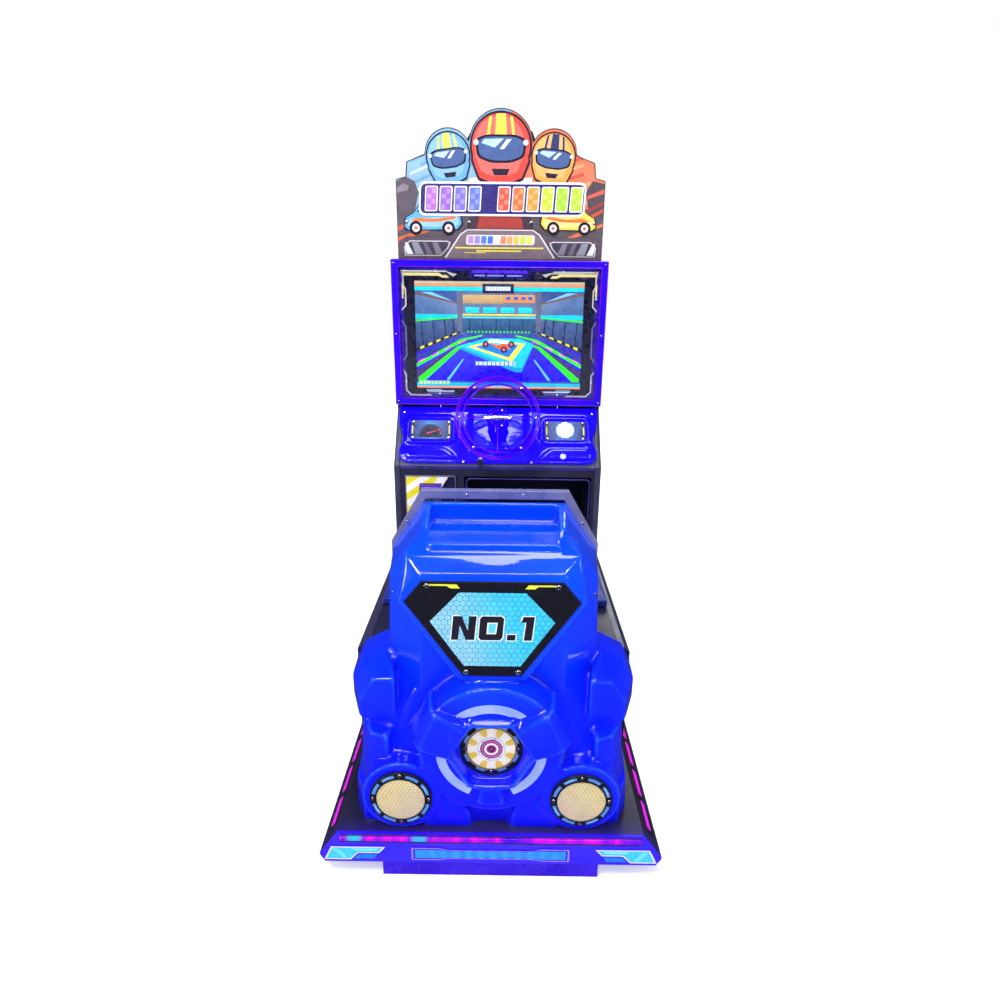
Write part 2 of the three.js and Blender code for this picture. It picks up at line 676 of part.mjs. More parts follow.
function pedal(x) {
  const half = PEDAL.width / 2;
  const barrel = rod(v3(x - half + 8, 0, 0), v3(x + half - 8, 0, 0), 8, 20);
  const turn = THREE.MathUtils.radToDeg(PEDAL.rise);
  const tread = block([x - half, x + half], [10, PEDAL.length], [3, 10]);
  const neck = block([x - half + 10, x + half - 10], [0, 30], [-2, 6]);
  const lever = join(tread, neck).rotate([turn, 0, 0]);
  const bore = rod(v3(x - half, 0, 0), v3(x + half, 0, 0), PIN_RADIUS + GAP, 20);
  return cut(join(barrel, lever), bore).translate([0, PEDAL.pivotY, PEDAL.pivotZ]);
}

function pedalBracket() {
  const low = FOOT.low + GAP;
  const plate = block([-16, 192], [242, 300], [low, low + 4]);
  const ears = [-12, 84, 182].map((x) => block([x, x + 6], [250, 274], [low, PEDAL.pivotZ + 10]));
  return cut(join(plate, ...ears), pedalPin(PIN_RADIUS + GAP));
}

function pedalPin(radius = PIN_RADIUS) {
  const y = PEDAL.pivotY;
  const z = PEDAL.pivotZ;
  return rod(v3(-18, y, z), v3(194, y, z), radius, 20);
}

add("pedal_bracket", pedalBracket(), darkSteel());
add("pedal_pivot_pin", pedalPin(), bareSteel());
add("brake_pedal", pedal(BRAKE_X), darkSteel());
add("accelerator_pedal", pedal(ACCELERATOR_X), darkSteel());

// ---------------------------------------------------------------- screen and topper
function bezelFrame() {
  const { low, high, frontY, rim } = BEZEL;
  const outer = block([-CAB.half, CAB.half], [frontY, CAB.neckY - GAP], [low, high]);
  return cut(outer, block([rim - CAB.half, CAB.half - rim], [200, 400], [low + rim, high - rim]));
}

function bezelGlass() {
  const half = CAB.half - BEZEL.rim - GAP;
  return block([-half, half], [278, 282], [BEZEL.low + BEZEL.rim + GAP, BEZEL.high - BEZEL.rim - GAP]);
}

function monitor() {
  const { z, halfWidth, halfHeight, frontY, depth } = SCREEN;
  const back = frontY + depth;
  const panel = block([-halfWidth, halfWidth], [frontY, back - 14], [z - halfHeight, z + halfHeight]);
  const rear = block([-190, 190], [frontY + 10, back], [z - 110, z + 110]);
  return join(panel, rear);
}

function monitorBracket() {
  const y0 = SCREEN.frontY + SCREEN.depth + GAP;
  const rail = block([-INNER, INNER], [y0, y0 + 12], [SCREEN.z - 15, SCREEN.z + 15]);
  const rails = [-60, 60].map((z) => rail.translate([0, 0, z]));
  const plate = block([-90, 90], [y0, y0 + 6], [SCREEN.z - 80, SCREEN.z + 80]);
  return join(plate, ...rails);
}

function topperOutline() {
  const { half, low, high } = TOPPER;
  const shape = new THREE.Shape();
  shape.moveTo(-half, low);
  shape.lineTo(half, low);
  shape.lineTo(half, 1428);
  shape.lineTo(257, 1436);
  shape.lineTo(257, 1472);
  shape.lineTo(206, 1490);
  shape.absarc(143, 1492, 63, 0, 0.8 * Math.PI);
  shape.lineTo(84, 1548);
  shape.absarc(0, high - 86, 86, 0.12 * Math.PI, 0.88 * Math.PI);
  shape.lineTo(-92, 1528);
  shape.absarc(-143, 1492, 63, 0.2 * Math.PI, Math.PI);
  shape.lineTo(-257, 1472);
  shape.lineTo(-257, 1436);
  shape.lineTo(-half, 1428);
  return shape;
}

add("bezel_frame", bezelFrame(), finish(0x2418e8, 0.3, 0));
add("bezel_glass", bezelGlass(), finish(0x0c0e14, 0.05, 0));
add("lcd_monitor", monitor(), blackPlastic());
add("monitor_bracket", monitorBracket(), darkSteel());
add("topper_panel", prismY(topperOutline(), TOPPER.y, TOPPER.y + TOPPER.thick), finish(0xd87838, 0.25, 0));

// ---------------------------------------------------------------- electronics
function gameBoard() {
  const low = 116;
  const card = block([-100, 100], [446, 566], [low, low + 2]);
  const corners = [[-92, 454], [92, 454], [-92, 558], [92, 558]];
  const posts = corners.map(([x, y]) => rod(v3(x, y, FLOOR), v3(x, y, low + 1), 4, 10));
  const cooler = block([-30, 30], [480, 540], [low + 1, low + 26]);
  const sockets = block([-90, -46], [450, 470], [low + 1, low + 16]);
  return join(card, ...posts, cooler, sockets);
}

function powerInlet() {
  const { x, z, halfWidth, halfHeight } = INLET;
  const y = CAB_BACK.panelY;
  const flange = block([x - halfWidth, x + halfWidth], [y + GAP, y + 2.5], [z - halfHeight, z + halfHeight]);
  const body = block([x - 21, x + 21], [y - 34, y + 1], [z - 23, z + 23]);
  const socket = block([x - 14, x + 14], [y - 20, y + 5], [z - 20, z + 1]);
  const pocket = block([x - 12, x + 12], [y - 8, y + 5], [z + 5, z + 22]);
  return cut(join(flange, body), socket, pocket);
}

const ROCKER = { y: CAB_BACK.panelY - 1, z: INLET.z + 13.5, tilt: 8 };

function powerSwitch() {
  const key = block([-10.5, 10.5], [-3, 3], [-6.6, 6.6]).rotate([ROCKER.tilt, 0, 0]);
  return key.translate([INLET.x, ROCKER.y, ROCKER.z]);
}

add("game_board", gameBoard(), finish(0x1c6b34, 0.5, 0));
add("power_supply", block([130, 240], [450, 560], [FLOOR, 152]), bareSteel());
add("power_inlet", powerInlet(), blackPlastic());
add("power_switch", powerSwitch(), finish(0xa01010, 0.3, 0));

export default cabinet;
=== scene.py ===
# A sit-down racing cabinet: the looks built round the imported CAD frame. Metres, +Z up.
import math
import random

import bmesh
import bpy
from mathutils import Matrix, Vector
from mathutils.bvhtree import BVHTree


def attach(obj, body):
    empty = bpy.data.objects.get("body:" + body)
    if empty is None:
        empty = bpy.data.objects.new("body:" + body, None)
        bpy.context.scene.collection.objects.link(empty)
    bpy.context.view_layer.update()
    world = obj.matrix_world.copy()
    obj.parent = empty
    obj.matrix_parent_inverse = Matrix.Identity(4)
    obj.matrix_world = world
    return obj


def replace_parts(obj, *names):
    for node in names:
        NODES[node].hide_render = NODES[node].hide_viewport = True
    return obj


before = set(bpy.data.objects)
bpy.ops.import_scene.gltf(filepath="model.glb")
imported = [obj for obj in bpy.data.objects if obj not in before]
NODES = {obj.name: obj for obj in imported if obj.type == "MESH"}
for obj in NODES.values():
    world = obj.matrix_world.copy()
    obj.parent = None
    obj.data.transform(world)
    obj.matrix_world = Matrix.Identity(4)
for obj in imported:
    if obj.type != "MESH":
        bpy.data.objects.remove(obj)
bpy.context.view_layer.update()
MM = 0.001
DRAW = random.Random(11)
QUARTERS = (0, 90, 180, 270)
SIDES = (("left", -1), ("right", 1))
WHITE = (255, 255, 255)

# ---------------------------------------------------------------- camera
LENS_MM = 23.574
SENSOR_MM = 36.0
PITCH, YAW, ROLL = 0.319, -0.0047, 0.0105
EYE = Vector((0.01687, -1.634, 1.1588))


def add_camera():
    forward = Vector((math.sin(YAW) * math.cos(PITCH), math.cos(YAW) * math.cos(PITCH), -math.sin(PITCH)))
    right = Vector((math.cos(YAW), -math.sin(YAW), 0))
    up = right.cross(forward)
    side = math.cos(ROLL) * right + math.sin(ROLL) * up
    top = -math.sin(ROLL) * right + math.cos(ROLL) * up
    data = bpy.data.cameras.new("camera")
    data.sensor_width = SENSOR_MM
    data.lens = LENS_MM
    data.clip_start = 0.02
    camera = bpy.data.objects.new("camera", data)
    bpy.context.scene.collection.objects.link(camera)
    camera.matrix_world = Matrix(
        [[side[i], top[i], -forward[i], EYE[i]] for i in range(3)] + [[0, 0, 0, 1]]
    )
    bpy.context.scene.camera = camera


add_camera()
bpy.context.scene.view_settings.view_transform = "Standard"


# ---------------------------------------------------------------- node materials
class Shader:
    """A Principled material with short calls for the nodes that feed it."""

    def __init__(self, name, **values):
        self.material = bpy.data.materials.new(name)
        self.material.use_nodes = True
        self.tree = self.material.node_tree
        self.surface = self.tree.nodes["Principled BSDF"]
        for socket, value in values.items():
            key = socket.replace("_", " ")
            self.surface.inputs[SOCKETS.get(key, key)].default_value = value
        self.where = self.node("ShaderNodeTexCoord").outputs["Object"]

    def node(self, kind, **props):
        made = self.tree.nodes.new(kind)
        for key, value in props.items():
            setattr(made, key, value)
        return made

    def link(self, source, target):
        self.tree.links.new(source, target)

    def feed(self, node, values):
        for key, value in values.items():
            if isinstance(value, bpy.types.NodeSocket):
                self.link(value, node.inputs[key])
            else:
                node.inputs[key].default_value = value
        return node

    def noise(self, scale, detail=3, roughness=0.5, where=None):
        node = self.node("ShaderNodeTexNoise")
        self.feed(node, {"Vector": where or self.where, "Scale": scale})
        self.feed(node, {"Detail": detail, "Roughness": roughness})
        return node.outputs["Fac"]

    def cells(self, scale, feature="F1"):
        node = self.node("ShaderNodeTexVoronoi", feature=feature)
        self.feed(node, {"Vector": self.where, "Scale": scale})
        return node.outputs["Distance"]

    def ramp(self, source, *stops):
        node = self.node("ShaderNodeValToRGB")
        self.link(source, node.inputs["Fac"])
        points = node.color_ramp.elements
        while len(points) < len(stops):
            points.new(0.5)
        for point, (place, colour) in zip(points, stops):
            point.position = place
            point.color = (*colour, 1) if len(colour) == 3 else colour
        return node.outputs["Color"]

    def spread(self, source, low, high, start=0.3, end=0.7):
        node = self.node("ShaderNodeMapRange")
        self.feed(node, {"Value": source, "From Min": start, "From Max": end})
        self.feed(node, {"To Min": low, "To Max": high})
        return node.outputs["Result"]

    def maths(self, kind, a, b=0.0):
        node = self.node("ShaderNodeMath", operation=kind)
        self.feed(node, {0: a, 1: b})
        return node.outputs["Value"]

    def mix(self, share, a, b, blend="MIX"):
        node = self.node("ShaderNodeMix", data_type="RGBA", blend_type=blend)
        self.feed(node, {"Factor": share, 6: a, 7: b})
        return node.outputs[2]

    def axis(self, index):
        node = self.node("ShaderNodeSeparateXYZ")
        self.link(self.where, node.inputs[0])
        return node.outputs[index]

    def bump(self, height, strength, distance, below=None):
        node = self.node("ShaderNodeBump")
        self.feed(node, {"Height": height, "Strength": strength, "Distance": distance})
        if below is not None:
            self.link(below, node.inputs["Normal"])
        return node.outputs["Normal"]

    def set(self, **sockets):
        for socket, value in sockets.items():
            key = socket.replace("_", " ")
            self.link(value, self.surface.inputs[SOCKETS.get(key, key)])
        return self.material


SOCKETS = {"Specular": "Specular IOR Level", "Transmission": "Transmission Weight", "Coat": "Coat Weight",
           "Coat Rough": "Coat Roughness", "Sheen": "Sheen Weight", "Colour": "Base Color",
           "Glow": "Emission Color", "Glow Power": "Emission Strength"}


def rgba(r, g, b):
    return (r, g, b, 1.0)


def gelcoat():
    s = Shader("gelcoat_blue", Roughness=0.22, Specular=0.10, Coat=1.0, Coat_Rough=0.02, IOR=1.45)
    # Painted shade and light: the blue ramps from deep and dark low on the shell to lighter azure high up, standing
    # in for the light falling from above; the noise added to the height is random tone.
    height = s.spread(s.axis(2), 0.0, 1.0, 0.1, 0.68)
    drift = s.maths("ADD", height, s.spread(s.noise(3.5, 2), -0.16, 0.16))
    colour = s.ramp(drift, (0.0, (0.001, 0.004, 0.80)), (0.45, (0.001, 0.014, 0.93)), (1.0, (0.0, 0.066, 1.0)))
    speck = s.spread(s.noise(900, 2), 0.0, 0.10, 0.55, 0.75)
    colour = s.mix(speck, colour, rgba(0.03, 0.12, 1.0))
    # Painted highlight and shade: ridges, where pointiness is high, are lightened, and hollows and creases, where
    # it is low, are darkened.
    ridge_light_hollow_shade = s.node("ShaderNodeNewGeometry").outputs["Pointiness"]
    colour = s.mix(s.spread(ridge_light_hollow_shade, 0.0, 0.75, 0.512, 0.60), colour, rgba(0.03, 0.20, 1.0))
    colour = s.mix(s.spread(ridge_light_hollow_shade, 0.9, 0.0, 0.43, 0.497), colour, rgba(0.0, 0.0, 0.50))
    peel = s.bump(s.noise(60, 3, 0.6), 0.05, 0.002)
    waves = s.bump(s.noise(9, 2), 0.12, 0.006, peel)
    # Painted glow: the shell, which is no lamp, gives off faint blue-violet light, most of it low down, standing in
    # for the LED light falling on it.
    s.surface.inputs["Emission Strength"].default_value = 0.30
    glow = s.ramp(height, (0.0, (0.006, 0.0, 0.62)), (1.0, (0.0, 0.02, 0.30)))
    return s.set(Colour=colour, Normal=waves, Coat_Normal=waves, Glow=glow,
                 Roughness=s.spread(s.noise(14, 4), 0.16, 0.30))


def dash_gelcoat():
    s = Shader("dash_blue", Roughness=0.2, Specular=0.06, Coat=0.9, Coat_Rough=0.02, IOR=1.45)
    drift = s.noise(8, 3)
    colour = s.ramp(drift, (0.3, (0.003, 0.0005, 0.85)), (0.7, (0.006, 0.001, 1.0)))
    peel = s.bump(s.noise(70, 3, 0.6), 0.05, 0.002)
    waves = s.bump(s.noise(11, 2), 0.14, 0.005, peel)
    # Painted glow: the dash moulding, which is no lamp, gives off blue-violet light that varies at random, standing
    # in for the LED light on it.
    s.surface.inputs["Emission Strength"].default_value = 0.42
    glow = s.ramp(s.noise(5, 2), (0.35, (0.006, 0.0, 0.9)), (0.7, (0.03, 0.0, 1.0)))
    return s.set(Colour=colour, Normal=waves, Coat_Normal=waves, Glow=glow,
                 Roughness=s.spread(s.noise(18, 4), 0.14, 0.28))


def laminate(name, dark, light, rough=(0.34, 0.5), grain=420.0):
    s = Shader(name, Roughness=0.4, Specular=0.4)
    cloud = s.noise(5, 4, 0.6)
    fine = s.noise(grain, 2, 0.6)
    colour = s.ramp(cloud, (0.3, dark), (0.75, light))
    colour = s.mix(s.spread(fine, 0.0, 0.35, 0.45, 0.8), colour, rgba(*[min(1, c * 1.9 + 0.01) for c in light]))
    rub = s.spread(s.noise(38, 5, 0.7), 0.0, 1.0, 0.62, 0.72)
    roughness = s.maths("ADD", s.spread(cloud, *rough), s.maths("MULTIPLY", rub, 0.08))
    pores = s.bump(fine, 0.18, 0.0006)
    soft = s.bump(s.noise(24, 3), 0.05, 0.002, pores)
    return s.set(Colour=colour, Roughness=roughness, Normal=soft)


def deck_laminate():
    """The deck's own laminate, with painted light from the lit acrylic on its rear face: the rear face is painted
    blue and glows, and a painted violet glow spills onto the top near the rear edge.
    """
    s = Shader("deck_laminate", Roughness=0.36, Specular=0.45)
    cloud, fine = s.noise(6, 4, 0.6), s.noise(380, 2, 0.6)
    colour = s.ramp(cloud, (0.3, (0.010, 0.009, 0.028)), (0.75, (0.022, 0.020, 0.062)))
    colour = s.mix(s.spread(fine, 0.0, 0.3, 0.5, 0.8), colour, rgba(0.05, 0.045, 0.11))
    # Painted glow: the rear face turns blue and glows, and the glow fades out over the top within a few centimetres
    # of the rear edge.
    rear = s.maths("LESS_THAN", s.axis(1), -0.5835)
    painted_led_spill = s.spread(s.axis(1), 0.30, 0.0, -0.5835, -0.545)
    glow = s.ramp(s.noise(7, 2), (0.3, (0.010, 0.0, 0.50)), (0.7, (0.06, 0.0, 0.80)))
    colour = s.mix(rear, colour, rgba(0.01, 0.002, 0.75))
    s.surface.inputs["Emission Strength"].default_value = 0.55
    return s.set(Colour=colour, Glow=s.mix(s.maths("MAXIMUM", rear, painted_led_spill), rgba(0, 0, 0), glow),
                 Normal=s.bump(fine, 0.15, 0.0006),
                 Roughness=s.spread(cloud, 0.28, 0.45))


def plastic(name, dark, light, rough=(0.3, 0.45), grain=600.0, bump=0.15, **values):
    s = Shader(name, Specular=0.45, **values)
    cloud = s.noise(22, 4, 0.6)
    fine = s.cells(grain)
    colour = s.ramp(cloud, (0.3, dark), (0.7, light))
    return s.set(Colour=colour, Roughness=s.spread(cloud, *rough), Normal=s.bump(fine, bump, 0.0004))


def metal(name, dark, light, rough=(0.2, 0.4), brushed=0.12, stretch=(1, 1, 14)):
    s = Shader(name, Metallic=1.0)
    scaled = s.node("ShaderNodeMapping")
    s.feed(scaled, {"Vector": s.where, "Scale": stretch})
    lines = s.noise(160, 4, 0.7, scaled.outputs["Vector"])
    cloud = s.noise(16, 4, 0.6)
    smudge = s.spread(s.noise(55, 4, 0.7), 0.0, 0.12, 0.5, 0.8)
    colour = s.mix(smudge, s.ramp(cloud, (0.3, dark), (0.7, light)), rgba(*[c * 0.55 for c in dark]))
    return s.set(Colour=colour, Roughness=s.spread(lines, *rough), Normal=s.bump(lines, brushed, 0.0003))


def leather():
    s = Shader("leather_blue", Specular=0.4, Coat=0.12, Coat_Rough=0.3, Sheen=0.1)
    cloud = s.noise(9, 4, 0.6)
    creases = s.cells(420, "DISTANCE_TO_EDGE")
    pores = s.noise(900, 2)
    colour = s.ramp(cloud, (0.25, (0.003, 0.012, 0.26)), (0.75, (0.006, 0.03, 0.46)))
    valley = s.spread(creases, 0.45, 0.0, 0.0, 0.12)
    colour = s.mix(valley, colour, rgba(0.001, 0.004, 0.10))
    grain = s.bump(s.spread(creases, 0.0, 1.0, 0.0, 0.18), 0.35, 0.0006)
    wear = s.bump(s.noise(30, 4), 0.12, 0.003, s.bump(pores, 0.15, 0.0003, grain))
    return s.set(Colour=colour, Roughness=s.spread(cloud, 0.32, 0.52), Normal=wear)


def printed(name, glow=0.0, coat=0.5, tint=1.0):
    """Ink whose colour is stored at each corner of the mesh, with print grain and a clear film over it."""
    s = Shader(name, Roughness=0.3, Specular=0.4, Coat=coat, Coat_Rough=0.06)
    ink = s.node("ShaderNodeVertexColor", layer_name="paint").outputs["Color"]
    dots = s.spread(s.cells(1400), 0.93 * tint, 1.04 * tint, 0.1, 0.6)
    cloud = s.spread(s.noise(40, 3), 0.94, 1.05)
    shade = s.node("ShaderNodeMath", operation="MULTIPLY")
    s.feed(shade, {0: dots, 1: cloud})
    grey = s.node("ShaderNodeCombineColor")
    s.feed(grey, {0: shade.outputs[0], 1: shade.outputs[0], 2: shade.outputs[0]})
    colour = s.mix(1.0, ink, grey.outputs["Color"], "MULTIPLY")
    film = s.bump(s.noise(35, 2), 0.03, 0.002)
    if glow:
        s.surface.inputs["Emission Strength"].default_value = glow
        s.set(Glow=colour)
    return s.set(Colour=colour, Normal=film, Roughness=s.spread(s.noise(60, 3), 0.22, 0.36))


def lit(name, *colours, power=1.0, scale=(9, 1, 1), seed=0.0):
    """A light strip behind acrylic: its colour drifts along its length."""
    s = Shader(name, Roughness=0.25, Specular=0.15, Coat=0.25, Coat_Rough=0.05)
    scaled = s.node("ShaderNodeMapping")
    s.feed(scaled, {"Vector": s.where, "Scale": scale, "Location": (seed, 0, 0)})
    drift = s.noise(1.0, 2, 0.5, scaled.outputs["Vector"])
    places = [0.3 + 0.4 * i / max(1, len(colours) - 1) for i in range(len(colours))]
    colour = s.ramp(drift, *zip(places, colours))
    grain = s.spread(s.noise(240, 2), 0.8, 1.1)
    grey = s.node("ShaderNodeCombineColor")
    s.feed(grey, {0: grain, 1: grain, 2: grain})
    glow = s.mix(1.0, colour, grey.outputs["Color"], "MULTIPLY")
    s.surface.inputs["Emission Strength"].default_value = power
    body = s.mix(0.55, colour, rgba(0.004, 0.002, 0.02))
    return s.set(Colour=body, Glow=glow, Normal=s.bump(s.noise(120, 2), 0.1, 0.0005))


def clear(name, colour, rough=0.04, ior=1.3, glow=None, power=0.0):
    s = Shader(name, Transmission=1.0, IOR=ior, Specular=0.35, Coat=0.08, Coat_Rough=0.02)
    haze = s.noise(26, 3)
    tint = s.ramp(haze, (0.3, tuple(0.92 * c for c in colour)), (0.7, colour))
    if glow:
        s.surface.inputs["Emission Strength"].default_value = power
        s.set(Glow=s.ramp(s.noise(12, 2), (0.3, tuple(0.6 * c for c in glow)), (0.7, glow)))
    return s.set(Colour=tint, Roughness=s.spread(haze, rough, rough + 0.05),
                 Normal=s.bump(s.noise(80, 2), 0.03, 0.001))


M = {
    "gelcoat": gelcoat(),
    "dash": dash_gelcoat(),
    "deck": deck_laminate(),
    "laminate": laminate("laminate_black", (0.011, 0.011, 0.032), (0.024, 0.023, 0.066)),
    "laminate_grey": laminate("laminate_grey", (0.07, 0.07, 0.11), (0.12, 0.12, 0.18)),
    "plinth": laminate("plinth_violet", (0.02, 0.001, 0.55), (0.045, 0.003, 0.85), (0.2, 0.35), 200.0),
    "trim": plastic("trim_grey", (0.13, 0.135, 0.30), (0.19, 0.195, 0.40), (0.24, 0.36), 500.0),
    "edge": plastic("edge_moulding", (0.030, 0.029, 0.075), (0.055, 0.053, 0.13), (0.3, 0.42), 500.0),
    "ledge": plastic("ledge_violet", (0.026, 0.020, 0.17), (0.045, 0.036, 0.30), (0.26, 0.4), 500.0),
    "black": plastic("plastic_black", (0.006, 0.006, 0.014), (0.013, 0.013, 0.030)),
    "rubber": plastic("rubber_black", (0.012, 0.012, 0.013), (0.03, 0.03, 0.032), (0.6, 0.8), 300.0, 0.3),
    "gasket": plastic("gasket_black", (0.006, 0.006, 0.01), (0.014, 0.014, 0.02), (0.5, 0.65), 400.0, 0.2),
    "dark_steel": metal("steel_dark", (0.05, 0.05, 0.055), (0.11, 0.11, 0.12), (0.35, 0.55)),
    "steel": metal("steel_bare", (0.40, 0.40, 0.43), (0.56, 0.56, 0.60), (0.25, 0.45)),
    "chrome": metal("chrome", (0.78, 0.76, 0.76), (0.92, 0.91, 0.92), (0.14, 0.30), 0.04, (1, 1, 1)),
    "zinc": metal("zinc_case", (0.36, 0.36, 0.42), (0.52, 0.52, 0.60), (0.3, 0.5), 0.1, (4, 4, 4)),
    "red": plastic("plastic_red", (0.45, 0.01, 0.01), (0.62, 0.02, 0.015), (0.18, 0.3)),
    "white_button": lit("button_lens", (0.75, 0.85, 1.0), (1.0, 1.0, 1.0), power=0.9, scale=(30, 30, 30)),
    "leather": leather(),
    "print": printed("ink_print"),
    "print_lit": printed("ink_backlit", glow=0.18, coat=0.15),
    "screen": printed("screen_picture", glow=0.92, coat=0.0, tint=0.98),
    "arc": lit("arc_white", (0.30, 0.44, 0.92), (0.46, 0.60, 1.0), power=0.45, scale=(20, 20, 20)),
    "led_rear": lit("led_rear", (0.06, 0.0, 1.0), (0.20, 0.0, 1.0), (0.62, 0.0, 0.95), (0.16, 0.0, 1.0),
                    (0.0, 0.42, 1.0),
                    power=1.05, scale=(11, 1, 1), seed=4.3),
    "led_side": lit("led_side", (0.55, 0.02, 0.75), (0.95, 0.01, 0.85), power=0.9, scale=(3, 3, 3)),
    "led_bezel": lit("led_bezel", (0.008, 0.0, 0.70), (0.03, 0.0, 0.92), power=0.62, scale=(5, 5, 5)),
    "tube": lit("tube_violet", (0.035, 0.0, 0.72), (0.26, 0.0, 0.86), power=0.6, scale=(16, 16, 16), seed=1.3),
    "acrylic": clear("acrylic_blue", (0.30, 0.32, 1.0), 0.02, 1.12, (0.04, 0.0, 0.9), 0.16),
    "glass": clear("glass_clear", (0.9, 0.92, 1.0), 0.01, 1.05),
    "circuit": plastic("circuit_green", (0.01, 0.09, 0.03), (0.02, 0.16, 0.05), (0.3, 0.45), 250.0, 0.3),
    "nylon": plastic("nylon_white", (0.62, 0.61, 0.56), (0.76, 0.75, 0.70), (0.4, 0.55), 300.0),
}


# ---------------------------------------------------------------- mesh helpers
def box_frame(origin, turn_x):
    """Local X across, local Y up, local Z out of a face leaning by turn_x; millimetres in, metres out."""
    return Matrix.Translation(Vector(origin) * MM) @ Matrix.Rotation(turn_x, 4, "X") @ Matrix.Scale(MM, 4)


WORLD = Matrix.Scale(MM, 4)
REAR = box_frame((0, 0, 0), math.pi / 2)
FRONT = Matrix.Rotation(math.pi, 4, "Z") @ REAR
DASH = box_frame((0, 249.5, 728.5), math.radians(52.07))
WHEEL = box_frame((0, 160, 805), math.radians(66.0))


def at_rear(y):
    """Drawings that face the rear of the cabinet, in the plane at y (mm)."""
    return Matrix.Translation((0, y * MM, 0)) @ REAR


def shade(mesh, angle=32.0):
    """Smooth shading that stays sharp over edges steeper than angle."""
    work = bmesh.new()
    work.from_mesh(mesh)
    limit = math.radians(angle)
    for face in work.faces:
        face.smooth = True
    for edge in work.edges:
        edge.smooth = len(edge.link_faces) == 2 and edge.calc_face_angle(0) < limit
    work.to_mesh(mesh)
    work.free()


def place(work, name, material, body, slot, matrix=WORLD, angle=32.0, outward=True):
    """Turns a bmesh in local units into a piece that rides on a body."""
    work.transform(matrix)
    if outward:
        bmesh.ops.recalc_face_normals(work, faces=work.faces[:])
    mesh = bpy.data.meshes.new(name)
    work.to_mesh(mesh)
    work.free()
    if angle is not None:
        shade(mesh, angle)
    return settle(mesh, name, material, body, slot)


def settle(mesh, name, material, body, slot):
    piece = bpy.data.objects.new(name, mesh)
    bpy.context.scene.collection.objects.link(piece)
    if material:
        mesh.materials.clear()
        mesh.materials.append(M[material])
    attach(piece, body)
    return piece


def add_hull(work, points):
    verts = [work.verts.new(p) for p in points]
    made = bmesh.ops.convex_hull(work, input=verts)
    spare = {v for v in made["geom_interior"] + made["geom_unused"] if isinstance(v, bmesh.types.BMVert)}
    bmesh.ops.delete(work, geom=list(spare), context="VERTS")


def add_prism(work, outline, low, high, bevel=0.0, segments=2, only_top=True):
    """An outline in local X, Y raised from low to high; its top edges are rounded by bevel."""
    bottom = [work.verts.new((x, y, low)) for x, y in outline]
    top = [work.verts.new((x, y, high)) for x, y in outline]
    count = len(outline)
    faces = [work.faces.new(bottom[::-1]), work.faces.new(top)]
    for i in range(count):
        j = (i + 1) % count
        faces.append(work.faces.new((bottom[i], bottom[j], top[j], top[i])))
    if bevel:
        edges = [e for e in faces[1].edges]
        if not only_top:
            edges = list({e for f in faces for e in f.edges})
        bmesh.ops.bevel(work, geom=edges, offset=bevel, segments=segments, profile=0.5, affect="EDGES",
                        clamp_overlap=True)


def add_lathe(work, profile, sides=32, centre=(0, 0)):
    """A profile of (radius, height) points turned about local Z at centre."""
    rings = []
    for radius, height in profile:
        if radius < 1e-6:
            rings.append([work.verts.new((centre[0], centre[1], height))])
            continue
        ring = []
        for i in range(sides):
            turn = 2 * math.pi * i / sides
            ring.append(work.verts.new((centre[0] + radius * math.cos(turn),
                                        centre[1] + radius * math.sin(turn), height)))
        rings.append(ring)
    for low, high in zip(rings, rings[1:]):
        for i in range(sides):
            j = (i + 1) % sides
            corners = [low[i % len(low)], low[j % len(low)], high[j % len(high)], high[i % len(high)]]
            unique = []
            for c in corners:
                if c not in unique:
                    unique.append(c)
            if len(unique) > 2:
                work.faces.new(unique)


def closed_lathe(work, profile, sides=48, centre=(0, 0)):
    """A closed loop of (radius, height) points turned about local Z: a ring."""
    add_lathe(work, list(profile) + [profile[0]], sides, centre)
    bmesh.ops.remove_doubles(work, verts=work.verts[:], dist=1e-4)


def add_tube(work, path, radius, sides=10, closed=False):
    """A round bar along points in local units."""
    rings = []
    count = len(path)
    for i, p in enumerate(path):
        before = path[i - 1] if i or closed else path[0]
        after = path[(i + 1) % count] if i < count - 1 or closed else path[-1]
        along = (Vector(after) - Vector(before)).normalized()
        side = along.cross(Vector((0.137, 0.231, 0.963))).normalized()
        up = along.cross(side)
        turns = [2 * math.pi * k / sides for k in range(sides)]
        rings.append([work.verts.new(Vector(p) + radius * (math.cos(t) * side + math.sin(t) * up))
                      for t in turns])
    pairs = list(zip(rings, rings[1:])) + ([(rings[-1], rings[0])] if closed else [])
    for low, high in pairs:
        for i in range(sides):
            j = (i + 1) % sides
            work.faces.new((low[i], low[j], high[j], high[i]))
    if not closed:
        work.faces.new(rings[0][::-1])
        work.faces.new(rings[-1])


def polar(r, degrees, x=0, y=0):
    turn = math.radians(degrees)
    return x + r * math.cos(turn), y + r * math.sin(turn)


def mirrored(points, s):
    """Points with their first coordinate times s, which is 1 or -1."""
    return [(s * x, *rest) for x, *rest in points]


def side_of(s):
    return lambda points: mirrored(points, s)


def rounded(x0, x1, y0, y1, r, steps=5):
    """A rectangle with round corners, counterclockwise."""
    corners = ((x1 - r, y1 - r, 0), (x0 + r, y1 - r, 90), (x0 + r, y0 + r, 180), (x1 - r, y0 + r, 270))
    return [polar(r, start + 90 * i / steps, cx, cy) for cx, cy, start in corners for i in range(steps + 1)]


